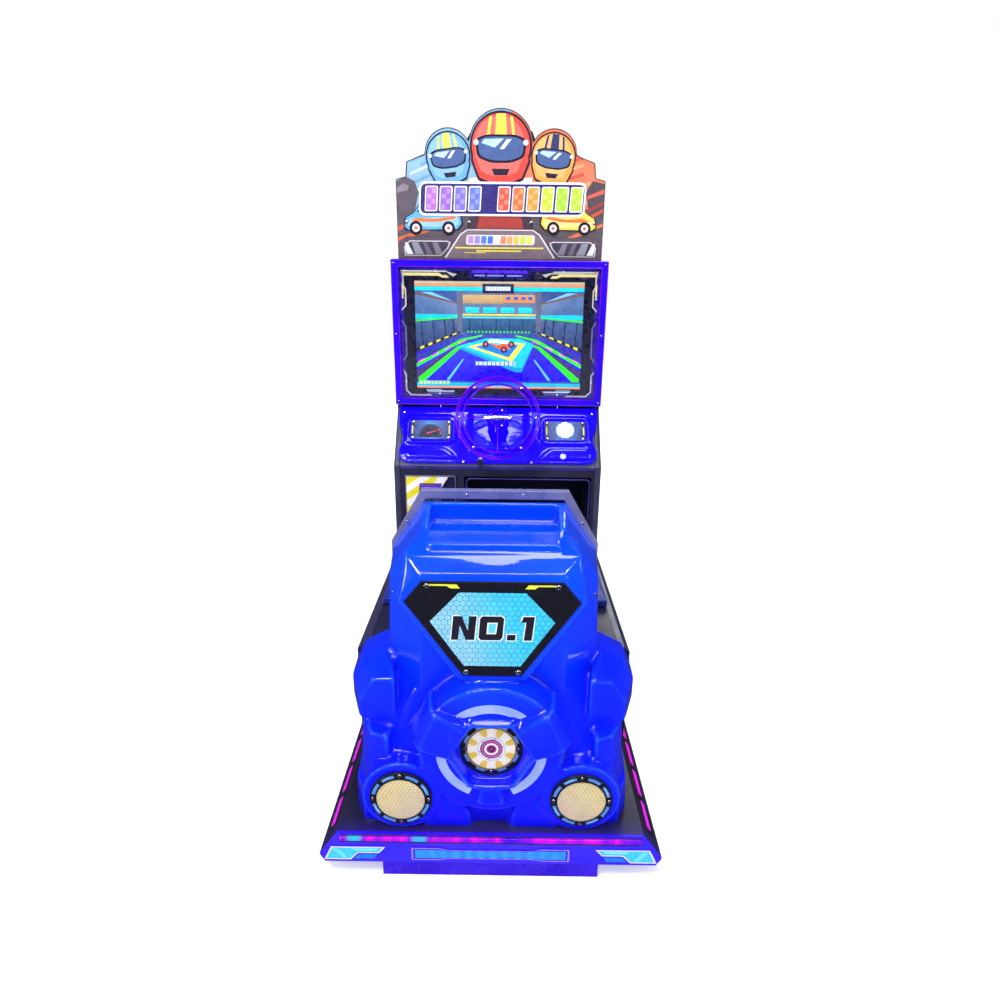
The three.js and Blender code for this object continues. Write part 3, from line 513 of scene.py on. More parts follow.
def soft_outline(points, r, steps=4):
    """Rounds every corner of a polygon by a quadratic curve that starts r before it."""
    made = []
    count = len(points)
    for i in range(count):
        a, b, c = (Vector(points[(i + k - 1) % count]) for k in range(3))
        before, after = min(r, (a - b).length / 2.05), min(r, (c - b).length / 2.05)
        p, q = b + (a - b).normalized() * before, b + (c - b).normalized() * after
        for k in range(steps + 1):
            t = k / steps
            made.append(tuple((1 - t) ** 2 * p + 2 * t * (1 - t) * b + t * t * q))
    return made


def circle(x, y, r, n=40):
    return [(x + r * math.cos(2 * math.pi * i / n), y + r * math.sin(2 * math.pi * i / n)) for i in range(n)]


def band(x, y, inner, outer, start, end, n=16):
    """Part of a ring between two angles in degrees, as one polygon."""
    turns = [start + (end - start) * i / n for i in range(n + 1)]
    return [polar(outer, t, x, y) for t in turns] + [polar(inner, t, x, y) for t in reversed(turns)]


def rect(x0, y0, x1, y1):
    return [(x0, y0), (x1, y0), (x1, y1), (x0, y1)]


def clip(points, region):
    """The part of a polygon inside a convex counterclockwise region."""
    for i, a in enumerate(region):
        b = region[(i + 1) % len(region)]
        inside = lambda p: (b[0] - a[0]) * (p[1] - a[1]) - (b[1] - a[1]) * (p[0] - a[0]) >= 0
        kept = []
        for k, p in enumerate(points):
            q = points[(k + 1) % len(points)]
            if inside(p):
                kept.append(p)
            if inside(p) != inside(q):
                dx, dy = q[0] - p[0], q[1] - p[1]
                ex, ey = b[0] - a[0], b[1] - a[1]
                t = (ex * (a[1] - p[1]) - ey * (a[0] - p[0])) / (ex * dy - ey * dx)
                kept.append((p[0] + t * dx, p[1] + t * dy))
        points = kept
        if not points:
            return []
    return points


def linear(r, g, b):
    """0-255 screen colour to scene colour."""
    return tuple(((c / 255 + 0.055) / 1.055) ** 2.4 if c > 10 else c / 255 / 12.92 for c in (r, g, b))


class Art:
    """A printed sheet: coloured polygons laid one over another, each a hair in front of the last."""

    STEP = 0.035

    def __init__(self):
        self.work = bmesh.new()
        self.paint = self.work.loops.layers.float_color.new("paint")
        self.height = 0.0

    def add(self, points, colour, corners=None, new_layer=True):
        if len(points) < 3:
            return
        if new_layer:
            self.height += self.STEP
        verts = [self.work.verts.new((x, y, self.height)) for x, y in points]
        try:
            face = self.work.faces.new(verts)
        except ValueError:
            return
        tones = [linear(*c) for c in corners] if corners else [linear(*colour)] * len(points)
        for loop, tone in zip(face.loops, tones):
            loop[self.paint] = (*tone, 1)
        return face

    def tiles(self, pairs):
        """One layer of shapes, each with its own colour."""
        self.height += self.STEP
        for shape, colour in pairs:
            self.add(shape, colour, new_layer=False)

    def many(self, shapes, colour):
        self.tiles([(shape, colour) for shape in shapes])

    def stack(self, change, rows):
        """Rows of an outline and its colour, each outline changed and laid over the last."""
        for points, colour in rows:
            self.add(change(points), colour)

    def window(self, x0, y0, x1, y1):
        """Cuts a rectangular opening through every layer."""
        for x, y, across in ((x0, y0, (1, 0, 0)), (x1, y1, (1, 0, 0)), (x0, y0, (0, 1, 0)), (x1, y1, (0, 1, 0))):
            everything = self.work.verts[:] + self.work.edges[:] + self.work.faces[:]
            bmesh.ops.bisect_plane(self.work, geom=everything, plane_co=(x, y, 0), plane_no=across)
        inside = [f for f in self.work.faces
                  if x0 < f.calc_center_median().x < x1 and y0 < f.calc_center_median().y < y1]
        bmesh.ops.delete(self.work, geom=inside, context="FACES")

    def done(self, name, matrix, body, slot, material="print"):
        self.work.normal_update()
        for face in self.work.faces:
            if face.normal.z < 0:
                face.normal_flip()
        return place(self.work, name, material, body, slot, matrix, None, outward=False)


def bars(name, material, slot, paths, radius, body="cabinet", matrix=WORLD, sides=8, closed=True):
    """Round bars along one or more paths, as one piece."""
    work = bmesh.new()
    for path in paths:
        add_tube(work, path, radius, sides, closed)
    return place(work, name, material, body, slot, matrix)


def slab(name, material, slot, matrix, *prism, body="cabinet"):
    """A raised outline as one piece; prism holds what add_prism takes."""
    work = bmesh.new()
    add_prism(work, *prism)
    return place(work, name, material, body, slot, matrix)


def turned(name, material, slot, matrix, profile, sides, body="cabinet", angle=32.0, centre=(0, 0)):
    """A turned profile as one piece."""
    work = bmesh.new()
    add_lathe(work, profile, sides, centre)
    return place(work, name, material, body, slot, matrix, angle)


def in_plane(outline, height):
    return [(x, y, height) for x, y in outline]


def upright(outline, y):
    """An outline of (x, z) in the plane at y."""
    return [(x, y, z) for x, z in outline]


def stand_for(piece, node, material):
    """A piece made in the scene takes the place of a CAD node of the cabinet."""
    piece.data.materials.clear()
    piece.data.materials.append(M[material])
    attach(piece, "cabinet")
    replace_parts(piece, node)


def smooth_all(mesh):
    for face in mesh.polygons:
        face.use_smooth = True


def screw_profile(r):
    """A low domed screw head with a round recess for the driver."""
    head = 0.45
    return [(0, 0.18 * r), (0.30 * r, 0.16 * r), (0.36 * r, head * r), (0.62 * r, head * r * 0.96),
            (0.86 * r, head * r * 0.72), (r, head * r * 0.28), (r, 0), (0, 0)]


def absorb(work, part):
    """Adds the part's mesh to work and frees the part."""
    scratch = bpy.data.meshes.new("scratch")
    part.to_mesh(scratch)
    part.free()
    work.from_mesh(scratch)
    bpy.data.meshes.remove(scratch)


def add_screws(work, places, r):
    """Screw heads on the local plane z = height for each (x, y, height)."""
    for x, y, height in places:
        part = bmesh.new()
        add_lathe(part, screw_profile(r), 18)
        for k in range(3):
            turn = math.radians(60 * k + 13)
            across = Vector((math.cos(turn), math.sin(turn)))
            for sign in (-1, 1):
                c = across * sign * 0.31 * r
                add_prism(part, circle(c.x, c.y, 0.06 * r, 6), 0.1 * r, 0.42 * r)
        part.transform(Matrix.Translation((x, y, height)))
        absorb(work, part)


def screws(name, places, r, matrix, body="cabinet"):
    work = bmesh.new()
    add_screws(work, places, r)
    return place(work, name, "chrome", body, "chrome", matrix, 35)


def soften(node, material, width, segments):
    """Gives a CAD node its material and a small rounded edge; its own mesh keeps its shape."""
    piece = NODES[node]
    piece.data.materials.clear()
    piece.data.materials.append(M[material])
    weld = piece.modifiers.new("weld", "WELD")
    weld.merge_threshold = 0.00002
    if width:
        flat = piece.modifiers.new("flat", "DECIMATE")
        flat.decimate_type = "DISSOLVE"
        flat.angle_limit = math.radians(0.6)
        edge = piece.modifiers.new("edge", "BEVEL")
        edge.width = width * MM
        edge.segments = segments
        edge.limit_method = "ANGLE"
        edge.angle_limit = math.radians(35)
        edge.harden_normals = False
        smooth = piece.modifiers.new("normals", "WEIGHTED_NORMAL")
        smooth.keep_sharp = False
        smooth_all(piece.data)


def evaluated(piece):
    """The piece's mesh with its modifiers applied."""
    view = bpy.context.evaluated_depsgraph_get()
    view.update()
    return bpy.data.meshes.new_from_object(piece.evaluated_get(view), depsgraph=view)


def loose(work, name):
    mesh = bpy.data.meshes.new(name)
    work.to_mesh(mesh)
    work.free()
    piece = bpy.data.objects.new(name, mesh)
    bpy.context.scene.collection.objects.link(piece)
    return piece


# ---------------------------------------------------------------- CAD nodes that stay
# Each row: material, the record's slot, edge radius in mm, its steps, and the nodes.
for material, slot, width, segments, nodes in (
        ("plinth", "plinth_paint", 1.0, 2, "plinth"),
        ("deck", "black_laminate", 1.6, 3, "base_deck"),
        ("trim", "trim_plastic", 2.4, 3, "seat_trim_frame"),
        ("laminate", "black_laminate", 1.2, 2, "seat_box cab_side_left cab_side_right"),
        ("laminate", "black_laminate", 1.0, 2,
         "side_wall_left side_wall_right cab_front_panel back_panel service_door"),
        ("laminate", "black_laminate", 0.8, 2, "footwell_liner cab_top"),
        ("zinc", "coin_door_paint", 0.8, 2, "coin_door"),
        ("zinc", "zinc_case", 0.5, 2, "power_supply"),
        ("black", "black_plastic", 0.6, 2, "coin_mech"),
        ("black", "black_plastic", 0.5, 2, "gauge_plate button_plate power_inlet lcd_monitor "
                                           "speaker_driver_left speaker_driver_right"),
        ("black", "black_plastic", 0.3, 2, "steering_pot"),
        ("black", "topper_print", 0.0, 2, "topper_panel"),
        ("red", "red_plastic", 1.2, 2, "coin_reject_button"),
        ("red", "red_plastic", 0.5, 2, "power_switch"),
        ("steel", "bare_steel", 0.5, 2, "coin_return_flap pedal_pivot_pin brake_pedal accelerator_pedal"),
        ("steel", "bare_steel", 0.4, 2, "steering_shaft"),
        ("steel", "bare_steel", 0.3, 2, "steering_gear"),
        ("dark_steel", "dark_steel", 0.6, 2, "cash_box"),
        ("dark_steel", "dark_steel", 0.5, 2, "pedal_bracket monitor_bracket"),
        ("dark_steel", "dark_steel", 0.3, 2, "steering_bracket"),
        ("chrome", "chrome", 0.8, 2, "coin_door_lock start_button_ring"),
        ("nylon", "nylon", 0.3, 2, "pot_gear"),
        ("circuit", "circuit_board", 0.5, 2, "game_board"),
        ("white_button", "button_white", 0.0, 2, "start_button"),
        ("led_bezel", "blue_light", 2.2, 3, "bezel_frame"),
        ("glass", "screen_glass", 0.0, 2, "bezel_glass")):
    for node in nodes.split():
        soften(node, material, width, segments)
smooth_all(NODES["start_button"].data)

# ---------------------------------------------------------------- seat shell moulding
VOXEL = 3.8 * MM
SPLIT_Y, FRONT_Y, FLOOR_Z = -363.0, -304.6, 100.3  # where the side walls start, the shell ends, the deck lies
BADGE_Z, SPEAKER_X, SPEAKER_Z = 288.0, 181.0, 176.0
POD_Y = -572  # the flat face of the two speaker pods


def both(points):
    return points + mirrored(points, -1)


def shell_volumes():
    """Convex volumes, each a list of corners, that together make the seat shell."""
    low = FLOOR_Z - 25
    lower = []
    for z, rear, rear_half, side_y, half, front_half in (
        (low, -554, 230, -540, 264, 297), (250, -536, 196, -494, 258, 294), (392, -492, 140, -430, 222, 230)):
        lower += [(rear_half, rear, z), (half, side_y, z), (front_half, SPLIT_Y + 25, z)]
    upper = []
    for y, outline in ((FRONT_Y + 25, ((222, 340), (224, 613), (154, 717))),
                       (-420, ((222, 360), (212, 602), (142, 704))),
                       (-500, ((143, 380), (143, 640), (123, 696)))):
        upper += [(x, y, z) for x, z in outline]
    block = [(64, -545.4, 433), (175, -545.4, 600), (136, -545.4, 651), (70, -529, 428), (179, -529, 600),
             (136, -529, 666), (165, -512, 680), (92, -440, 448), (181, -440, 604), (163, -440, 686),
             (125, -444, 703)]
    volumes = [both(lower), both(upper), both(block)]
    for s in (-1, 1):
        fender = [(226, SPLIT_Y + 25, 290), (299, SPLIT_Y + 25, 300), (300, SPLIT_Y + 25, 378),
                  (290, SPLIT_Y + 25, 398), (226, SPLIT_Y + 25, 431), (300, -424, 318), (300, -424, 366),
                  (278, -432, 408), (226, -426, 430), (276, -484, 300), (271, -494, 354), (240, -498, 400),
                  (196, -506, 300), (196, -502, 402)]
        column = [(200, -553, 150), (250, -543, 150), (274, -502, 150), (292, -400, 150), (208, -546, 298),
                  (244, -530, 298), (272, -472, 298), (286, -400, 298), (190, -400, 150), (190, -400, 300)]
        foot = [(150, -560, low), (262, -552, low), (288, -500, low), (297, -400, low), (186, -556, 170),
                (262, -544, 170), (284, -500, 170), (293, -400, 170), (150, -400, low)]
        volumes += [mirrored(v, s) for v in (fender, column, foot)]
    return volumes


def along_y(work, x, z, y_front, y_rear, radius, sides=64, taper=0.0):
    ring = [(x + radius * math.cos(2 * math.pi * i / sides), z + radius * math.sin(2 * math.pi * i / sides))
            for i in range(sides)]
    add_hull(work, [(px, y_front, pz) for px, pz in ring]
             + [(x + (px - x) * (1 - taper), y_rear, z + (pz - z) * (1 - taper)) for px, pz in ring])


def claw(work, turn):
    """One of three blocks that grip the round boss; the lowest, at 270 degrees, is shorter and narrower."""
    points = []
    reach, wide = (124, 26) if turn == 270 else (150, 44)
    for r, half, y in ((60, wide + 2, -572), (76, wide - 8, -594), (reach - 14, wide, -592),
                       (reach, wide + 2, -572),
                       (reach + 8, wide + 5, -520), (58, wide + 4, -520)):
        points += [(r, half, y), (r, -half, y)]
    angle = math.radians(turn)
    add_hull(work, [(r * math.cos(angle) - w * math.sin(angle), y,
                     BADGE_Z + r * math.sin(angle) + w * math.cos(angle))
                    for r, w, y in points])


def apply_all(piece):
    made = evaluated(piece)
    piece.modifiers.clear()
    old = piece.data
    piece.data = made
    bpy.data.meshes.remove(old)


def remesh(piece, size):
    step = piece.modifiers.new("remesh", "REMESH")
    step.mode = "VOXEL"
    step.voxel_size = size


def cut_by(piece, work):
    """Adds a cut to the piece and returns its tool, to be removed once the cut is applied."""
    work.transform(WORLD)
    tool = loose(work, "cutter")
    cut = piece.modifiers.new("cut", "BOOLEAN")
    cut.operation = "DIFFERENCE"
    cut.object = tool
    return tool


def shave(piece, origin, normal):
    """Cuts away what lies beyond a plane and closes the cut."""
    work = bmesh.new()
    work.from_mesh(piece.data)
    made = bmesh.ops.bisect_plane(work, geom=work.verts[:] + work.edges[:] + work.faces[:],
                                  plane_co=Vector(origin) * MM, plane_no=normal, clear_outer=True)
    rim = [e for e in made["geom_cut"] if isinstance(e, bmesh.types.BMEdge)]
    bmesh.ops.holes_fill(work, edges=rim, sides=0)
    work.to_mesh(piece.data)
    work.free()


def build_shell():
    """Joins the volumes by remeshing, then cuts the tray, the boss and the badge's pocket."""
    work = bmesh.new()
    for points in shell_volumes():
        add_hull(work, points)
    along_y(work, 0, BADGE_Z, -480, -573, 150, 72, 0.05)
    for turn in (24, 156, 270):
        claw(work, turn)
    hexagon = [polar(1, 60 * k) for k in range(6)]
    add_hull(work, [(x * r, y, BADGE_Z + z * r) for x, z in hexagon for r,
                    y in ((100, -560), (94, -573), (83, -592))])
    for s in (-1, 1):
        along_y(work, s * SPEAKER_X, SPEAKER_Z, -480, -571.6, 84, 64, 0.06)
        add_hull(work, [(s * x, y, z) for x, z in ((32, 60), (140, 60), (140, 150), (90, 176), (58, 160),
                                                   (42, 128))
                        for y in (-500, -562)] + [(s * x, -567, z) for x, z in ((39, 60), (136, 60), (134, 144),
                                                                                (90, 166), (63, 152), (49, 124))])
    work.transform(WORLD)
    shell = loose(work, "seat_shell_moulding")
    remesh(shell, VOXEL)
    cutters = bmesh.new()
    tray = both([(128, -437, 690), (136, -441, 790), (132, -313, 674), (140, -311, 790)])
    add_hull(cutters, tray)
    add_hull(cutters, [(x * r, y, BADGE_Z + z * r) for r, y in ((70.68, -566), (83.6, -600)) for x, z in hexagon])
    tool = cut_by(shell, cutters)
    remesh(shell, VOXEL)
    soft = shell.modifiers.new("soft", "SMOOTH")
    soft.factor = 0.5
    soft.iterations = 5
    apply_all(shell)
    bpy.data.objects.remove(tool)
    pocket = bmesh.new()
    along_y(pocket, 0, BADGE_Z, -556, -600, 62.5, 72)
    tool = cut_by(shell, pocket)
    apply_all(shell)
    bpy.data.objects.remove(tool)
    shave(shell, (0, 0, FLOOR_Z), (0, 0, -1))
    shave(shell, (0, FRONT_Y - 0.3, 0), (0, 1, 0))
    shade(shell.data, 55)
    stand_for(shell, "seat_shell", "gelcoat")
    return shell


SHELL = build_shell()


def on_shell(x, z):
    """Where a line along +Y at (x, z) first meets the shell, in mm; its usual front where the line misses."""
    hit, spot, _, _ = SHELL.ray_cast(Vector((x, -700, z)) * MM, Vector((0, 1, 0)))
    return spot.y / MM if hit else -545.0


# ---------------------------------------------------------------- number plate
PLATE_OUT = [(-56, 443), (56, 443), (165, 600), (131, 642), (-131, 642), (-165, 600)]
PLATE_Y = -543.7


def honeycomb(region, size, gap, tone):
    """Hexagons clipped to a convex region, with the colour tone(x, y) gives."""
    xs, ys = [p[0] for p in region], [p[1] for p in region]
    step_x, step_y = size * math.sqrt(3), size * 1.5
    shapes = []
    row = 0
    y = min(ys) - size
    while y < max(ys) + size:
        x = min(xs) - size + (step_x / 2 if row % 2 else 0)
        while x < max(xs) + size:
            corners = [(x + (size - gap) * math.sin(math.radians(60 * k)),
                        y + (size - gap) * math.cos(math.radians(60 * k)))
                       for k in range(6)][::-1]
            shape = clip(corners, region)
            if len(shape) > 2:
                shapes.append((shape, tone(x, y)))
            x += step_x
        y += step_y
        row += 1
    return shapes


def blend_rgb(a, b, t):
    t = min(1, max(0, t))
    return tuple(a[i] + (b[i] - a[i]) * t for i in range(3))


def number_plate():
    """A board with a honeycomb print and a generic race number."""
    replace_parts(slab("number_plate_board", "black", "number_print", at_rear(PLATE_Y), PLATE_OUT, 0.05, 3.4, 1.0,
                     2),
                "number_plate")
    art = Art()
    art.add(soft_outline([(-54, 446), (54, 446), (161, 600), (129, 639), (-129, 639), (-161, 600)], 2),
            (20, 20, 34))
    region = [(-54, 466), (54, 466), (117, 560), (62, 620), (-62, 620), (-117, 560)]
    art.add(soft_outline(region, 6), (70, 130, 190))

    def tone(x, y):
        t = (x + 0.35 * (y - 540) + 60) / 120
        near = blend_rgb((150, 208, 246), (20, 200, 250), t)
        return blend_rgb(near, (90, 215, 250), DRAW.uniform(0, 0.25))

    art.tiles(honeycomb(region, 6.6, 0.75, tone))
    art.tiles(honeycomb(region, 6.6, 4.4,
                        lambda x, y: blend_rgb((120, 190, 235), (60, 205, 245), (x + 60) / 120)))
    for sign in (-1, 1):
        mark = [(118, 636.5), (118, 633.2), (84, 633.2), (78, 628.4), (60, 628.4), (66, 636.5)]
        art.add(mirrored(mark, sign), (222, 226, 60))
    strokes = [
        [(-78, 522), (-65, 522), (-61, 552), (-50, 522), (-34, 522), (-29, 572), (-43, 572), (-46, 542),
         (-57, 572), (-73, 572)],
        [(-22, 522), (14, 522), (19, 527), (22, 567), (17, 572), (-18, 572), (-23, 567), (-26, 527)],
        [(27, 522), (43, 522), (44, 534), (28, 534)],
        [(59, 522), (74, 522), (79, 572), (58, 572), (54, 560), (63, 560)],
    ]
    hole = [(-11, 535), (7, 535), (10, 559), (-9, 559)]
    for outlined, colour in ((True, (235, 244, 252)), (False, (30, 28, 46))):
        for stroke in strokes:
            grown = stroke
            if outlined:
                cx, cy = sum(p[0] for p in stroke) / len(stroke), sum(p[1] for p in stroke) / len(stroke)
                grown = [(x + math.copysign(1.9, x - cx), y + math.copysign(1.9, y - cy)) for x, y in stroke]
            art.add(grown, colour)
    art.add(hole, (235, 244, 252))
    art.add([(-8.5, 537), (5, 537), (7.6, 557), (-6.5, 557)], (96, 205, 246))
    art.done("number_plate_print", at_rear(PLATE_Y - 3.42), "cabinet", "number_print")
    screws("number_plate_screws", [(s * x, y, 0) for s in (-1, 1) for x, y in ((121, 632), (50, 452))], 5.6,
           at_rear(PLATE_Y - 3.9))
    outer = [(-60, 437), (60, 437), (170.5, 600.5), (134, 646), (-134, 646), (-170.5, 600.5)]
    bars("number_plate_gasket", "gasket", "black_plastic", [in_plane(soft_outline(outer, 5), -1.6)], 2.0,
         matrix=at_rear(PLATE_Y))


number_plate()


# ---------------------------------------------------------------- badge and speakers
def badge():
    """A round print of plain rings and petals, with three lit arcs round it."""
    face_y = -562.0
    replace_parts(turned("badge_plate", "black", "emblem_print", at_rear(face_y),
                       [(0, -6), (59, -6), (60, -5), (60, -0.8), (59, 0), (0, 0)], 64, centre=(0, BADGE_Z)),
                "emblem_plate")
    art = Art()
    z = BADGE_Z
    art.add(circle(0, z, 59, 72), (18, 19, 32))
    for k in range(4):
        for a, b in ((14, 34), (56, 76)):
            art.add(band(0, z, 51.5, 56.5, 90 * k + a, 90 * k + b, 8), (80, 130, 215))
    art.many([band(0, z, 50, 50.9, 90 * k + 6, 90 * k + 84, 14) for k in range(4)], (205, 205, 180))
    art.add(circle(0, z, 48, 72), (226, 178, 84))
    art.add(circle(0, z, 46.6, 72), (246, 240, 226))
    for k in range(8):
        turn = 45 * k + 22.5
        art.add(band(0, z, 33, 46.4, turn - 9.5, turn + 9.5, 6), (232, 196, 78))
        art.add(band(0, z, 30, 33, turn - 6, turn + 6, 4), (232, 196, 78))
    for r, c in ((27.5, (176, 190, 214)), (26, (238, 238, 248)), (22.5, (158, 64, 132)), (18.5, (205, 120, 190)),
                 (17, (150, 40, 118)), (14, (246, 238, 250)), (10,
                                                               (176, 62, 140)), (7.4, (120, 30,
                                                                                       96)), (4.6, (34, 18, 66)),
                 (1.8, (190, 110, 200))):
        art.add(circle(0, z, r, 56), c)
    for k in range(6):
        art.add(circle(*polar(24.2, 60 * k + 15, 0, z), 1.3, 12), (60, 50, 110))
    art.done("badge_print", at_rear(face_y - 0.02), "cabinet", "emblem_print")
    screws("badge_screws", [(*polar(53.5, a, 0, z), 0) for a in QUARTERS], 3.6, at_rear(face_y - 0.8))
    bars("badge_gasket", "gasket", "black_plastic", [in_plane(circle(0, z, 61.6, 72), 0)], 1.5,
         matrix=at_rear(face_y - 1))
    for name, start, end in (("top", 50, 130), ("left", 186, 246), ("right", -66, -6)):
        arc = soft_outline(band(0, z, 91, 109, start, end, 26), 3, 2)
        slab("light_arc_" + name, "arc", "blue_light", at_rear(-573.4), arc, -3, 1.0, 0.8, 2)


def speakers():
    for side, s in SIDES:
        x, z = s * SPEAKER_X, SPEAKER_Z
        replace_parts(turned("speaker_cover_" + side, "black", "speaker_mesh", at_rear(POD_Y),
                           [(0, -1.5), (61, -1.5), (62.5, 0), (62.5, 4.4), (61.5, 5.4),
                            (0, 5.4)], 64, centre=(x, z)),
                    "speaker_grille_" + side)
        art = Art()
        art.add(circle(x, z, 61, 72), (20, 22, 44))
        for k in range(4):
            for a, b in ((12, 40), (50, 78)):
                art.add(band(x, z, 52, 58.5, 90 * k + a, 90 * k + b, 10), (76, 138, 224))
            art.add(band(x, z, 54.2, 56, 90 * k + 18, 90 * k + 36, 8), (150, 196, 244))
        art.add(circle(x, z, 49.6, 72), (236, 222, 96))
        art.done("speaker_print_" + side, at_rear(POD_Y - 5.5), "cabinet", "speaker_mesh")
        mesh = Art()
        region = circle(x, z, 48.4, 40)
        mesh.add(circle(x, z, 48.4, 64), (204, 168, 112))
        tone = lambda px, pz: blend_rgb((204, 192, 178), (218, 208, 158), (pz - z + 40) / 80 + s * (px - x) / 90)
        mesh.tiles(honeycomb(region, 4.5, 0.85, tone))
        mesh.done("speaker_cloth_" + side, at_rear(POD_Y - 6.0), "cabinet", "speaker_mesh")
        work = bmesh.new()
        closed_lathe(work, [(48.6, 5.2), (50.4, 5.2), (50.4, 7.6), (49.5, 8.2), (48.6, 7.6)], 64, (x, z))
        place(work, "speaker_bead_" + side, "black", "cabinet", "black_plastic", at_rear(POD_Y))
        screws("speaker_screws_" + side, [(*polar(55.5, a, x, z), 0) for a in QUARTERS], 4.0,
               at_rear(POD_Y - 5.6))


badge()
speakers()

# Two small fixings where the wings of the shell meet the seat back.
for side, s in SIDES:
    screws("wing_screw_" + side, [(s * 206, 560, 0)], 4.0, at_rear(on_shell(s * 206, 560) + 0.5))


# ---------------------------------------------------------------- base
DECK_REAR_Y = -598  # the deck's rear face


def rear_lights():
    """The lit tube along the deck's rear edge, the long bar under it and a panel at each corner."""
    path = [(-304.5 + 609 * i / 60, -595, 92.8) for i in range(61)]
    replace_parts(bars("rear_led_tube", "led_rear", "magenta_light", [path], 4.7, sides=12, closed=False),
                "rear_led_strip")
    channel = bmesh.new()
    add_prism(channel, [(-590.3, 86.2), (-599, 86.2), (-599, 88), (-592, 88), (-592, 98.4), (-590.3, 98.4)],
              -304.8, 304.8)
    channel.transform(Matrix.Rotation(math.radians(90), 4, "Y") @ Matrix.Rotation(math.radians(90), 4, "Z"))
    place(channel, "rear_led_channel", "edge", "cabinet", "trim_plastic")
    half = [(160, 44), (160, 75), (104, 75), (84, 70), (0, 70)]
    low = [(-160, 44), (-104, 44), (-84, 48), (84, 48), (104, 44)]
    outline = low + half[:4] + [(-84, 70), (-104, 75), (-160, 75)]
    frame_art = Art()
    for across, high, soft, tone in ((1, 1, 3, (150, 110, 250)), (0.978, 0.84, 3, (30, 20, 190)),
                                     (0.955, 0.68, 2, (30, 130, 250))):
        inner = [(x * across, 59.5 + (y - 59.5) * high) for x, y in outline]
        frame_art.add(soft_outline(inner, soft), tone)
    for i in range(12):
        x = -150 + 25 * i
        frame_art.add(clip(rect(x, 40, x + 12, 80), [(-152, 50), (152, 50), (152, 69), (-152, 69)]),
                      (34, 140, 251))
    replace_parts(slab("rear_bar_lens", "plinth", "blue_light", at_rear(DECK_REAR_Y), soft_outline(outline, 3), 0.3,
                     1.6, 0.5, 1),
                "rear_light_bar")
    frame_art.done("rear_bar_print", at_rear(DECK_REAR_Y - 1.62), "cabinet", "blue_light", "print_lit")
    for side, s in SIDES:
        art = Art()
        flip = side_of(s)
        art.stack(flip, [
            ([(212, 76), (226, 60), (268, 60), (284, 43), (338, 43), (322, 76)], (214, 206, 252)),
            ([(218, 73.5), (227.5, 62.5), (269, 62.5), (285.5, 45.5), (333, 45.5), (320, 73.5)], (52, 186, 252)),
            ([(226, 72), (232, 66), (276, 66), (282, 72)], (110, 212, 254)),
            ([(290, 48), (300, 48), (322, 71), (306, 71)], (96, 206, 254)),
            ([(229, 57.5), (236, 46), (277, 46), (266, 57.5)], (12, 112, 240))])
        art.done("corner_print_" + side, at_rear(DECK_REAR_Y - 1.62), "cabinet", "blue_light", "print_lit")
        lens = flip([(217, 74), (228, 61), (268, 61), (284, 44), (334, 44), (320, 74)])
        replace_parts(slab("corner_lens_" + side, "plinth", "blue_light", at_rear(DECK_REAR_Y), lens, 0.3, 1.6, 0.4,
                         1),
                    "rear_corner_light_" + side)


def side_lights():
    """Dashes of light along the sloped sides of the deck."""
    run = Vector((311 - 352, 0, 100 - 43)).normalized()
    out = Vector((run.z, 0, -run.x))
    for side, s in SIDES:
        middle = Vector((331.5, 0, 71.5))
        work, dark = bmesh.new(), bmesh.new()

        def slat(target, y0, y1, w, low, high):
            points = []
            for y in (y0, y1):
                for a in (-w, w):
                    for h in (low, high):
                        p = middle + run * a + out * h
                        points.append((s * p.x, y, p.z))
            add_hull(target, points)

        slat(dark, -548, 548, 12, 0.25, 1.0)
        for i in range(11):
            start = -540 + 98.2 * i
            slat(work, start, start + 74, 6.4, 1.05, 2.1)
        place(dark, "side_light_channel_" + side, "black", "cabinet", "black_plastic")
        dashes = place(work, "side_light_dashes_" + side, "led_side", "cabinet", "magenta_light")
        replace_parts(dashes, "side_light_" + side)


rear_lights()
side_lights()


# ---------------------------------------------------------------- padding
def inflate(piece, cap, held):
    """Swells a closed mesh as cloth under pressure; points that held(co) picks stay put."""
    scene = bpy.context.scene
    rest = [v.co.copy() for v in piece.data.vertices]
    pins = piece.vertex_groups.new(name="held")
    pins.add([v.index for v in piece.data.vertices if held(v.co / MM)], 1.0, "REPLACE")
    cloth = piece.modifiers.new("cloth", "CLOTH")
    for key, value in {"quality": 5, "mass": 0.3, "tension_stiffness": 18, "compression_stiffness": 18,
                       "shear_stiffness": 6, "bending_stiffness": 0.6, "use_pressure": True}.items():
        setattr(cloth.settings, key, value)
    cloth.settings.uniform_pressure_force = PRESSURE
    cloth.settings.effector_weights.gravity = 0
    cloth.settings.vertex_group_mass = "held"
    cloth.collision_settings.use_collision = False
    for number in range(1, 21):
        scene.frame_set(number)
    swollen = evaluated(piece)
    moved = [v.co.copy() for v in swollen.vertices]
    bpy.data.meshes.remove(swollen)
    piece.modifiers.clear()
    scene.frame_set(1)
    for v, a, b in zip(piece.data.vertices, rest, moved):
        step = b - a
        if step.length > cap * MM:
            step = step.normalized() * cap * MM
        v.co = a + step


PRESSURE, FILL = 4.0, 0.75  # cloth pressure, and how tightly a pad is stuffed


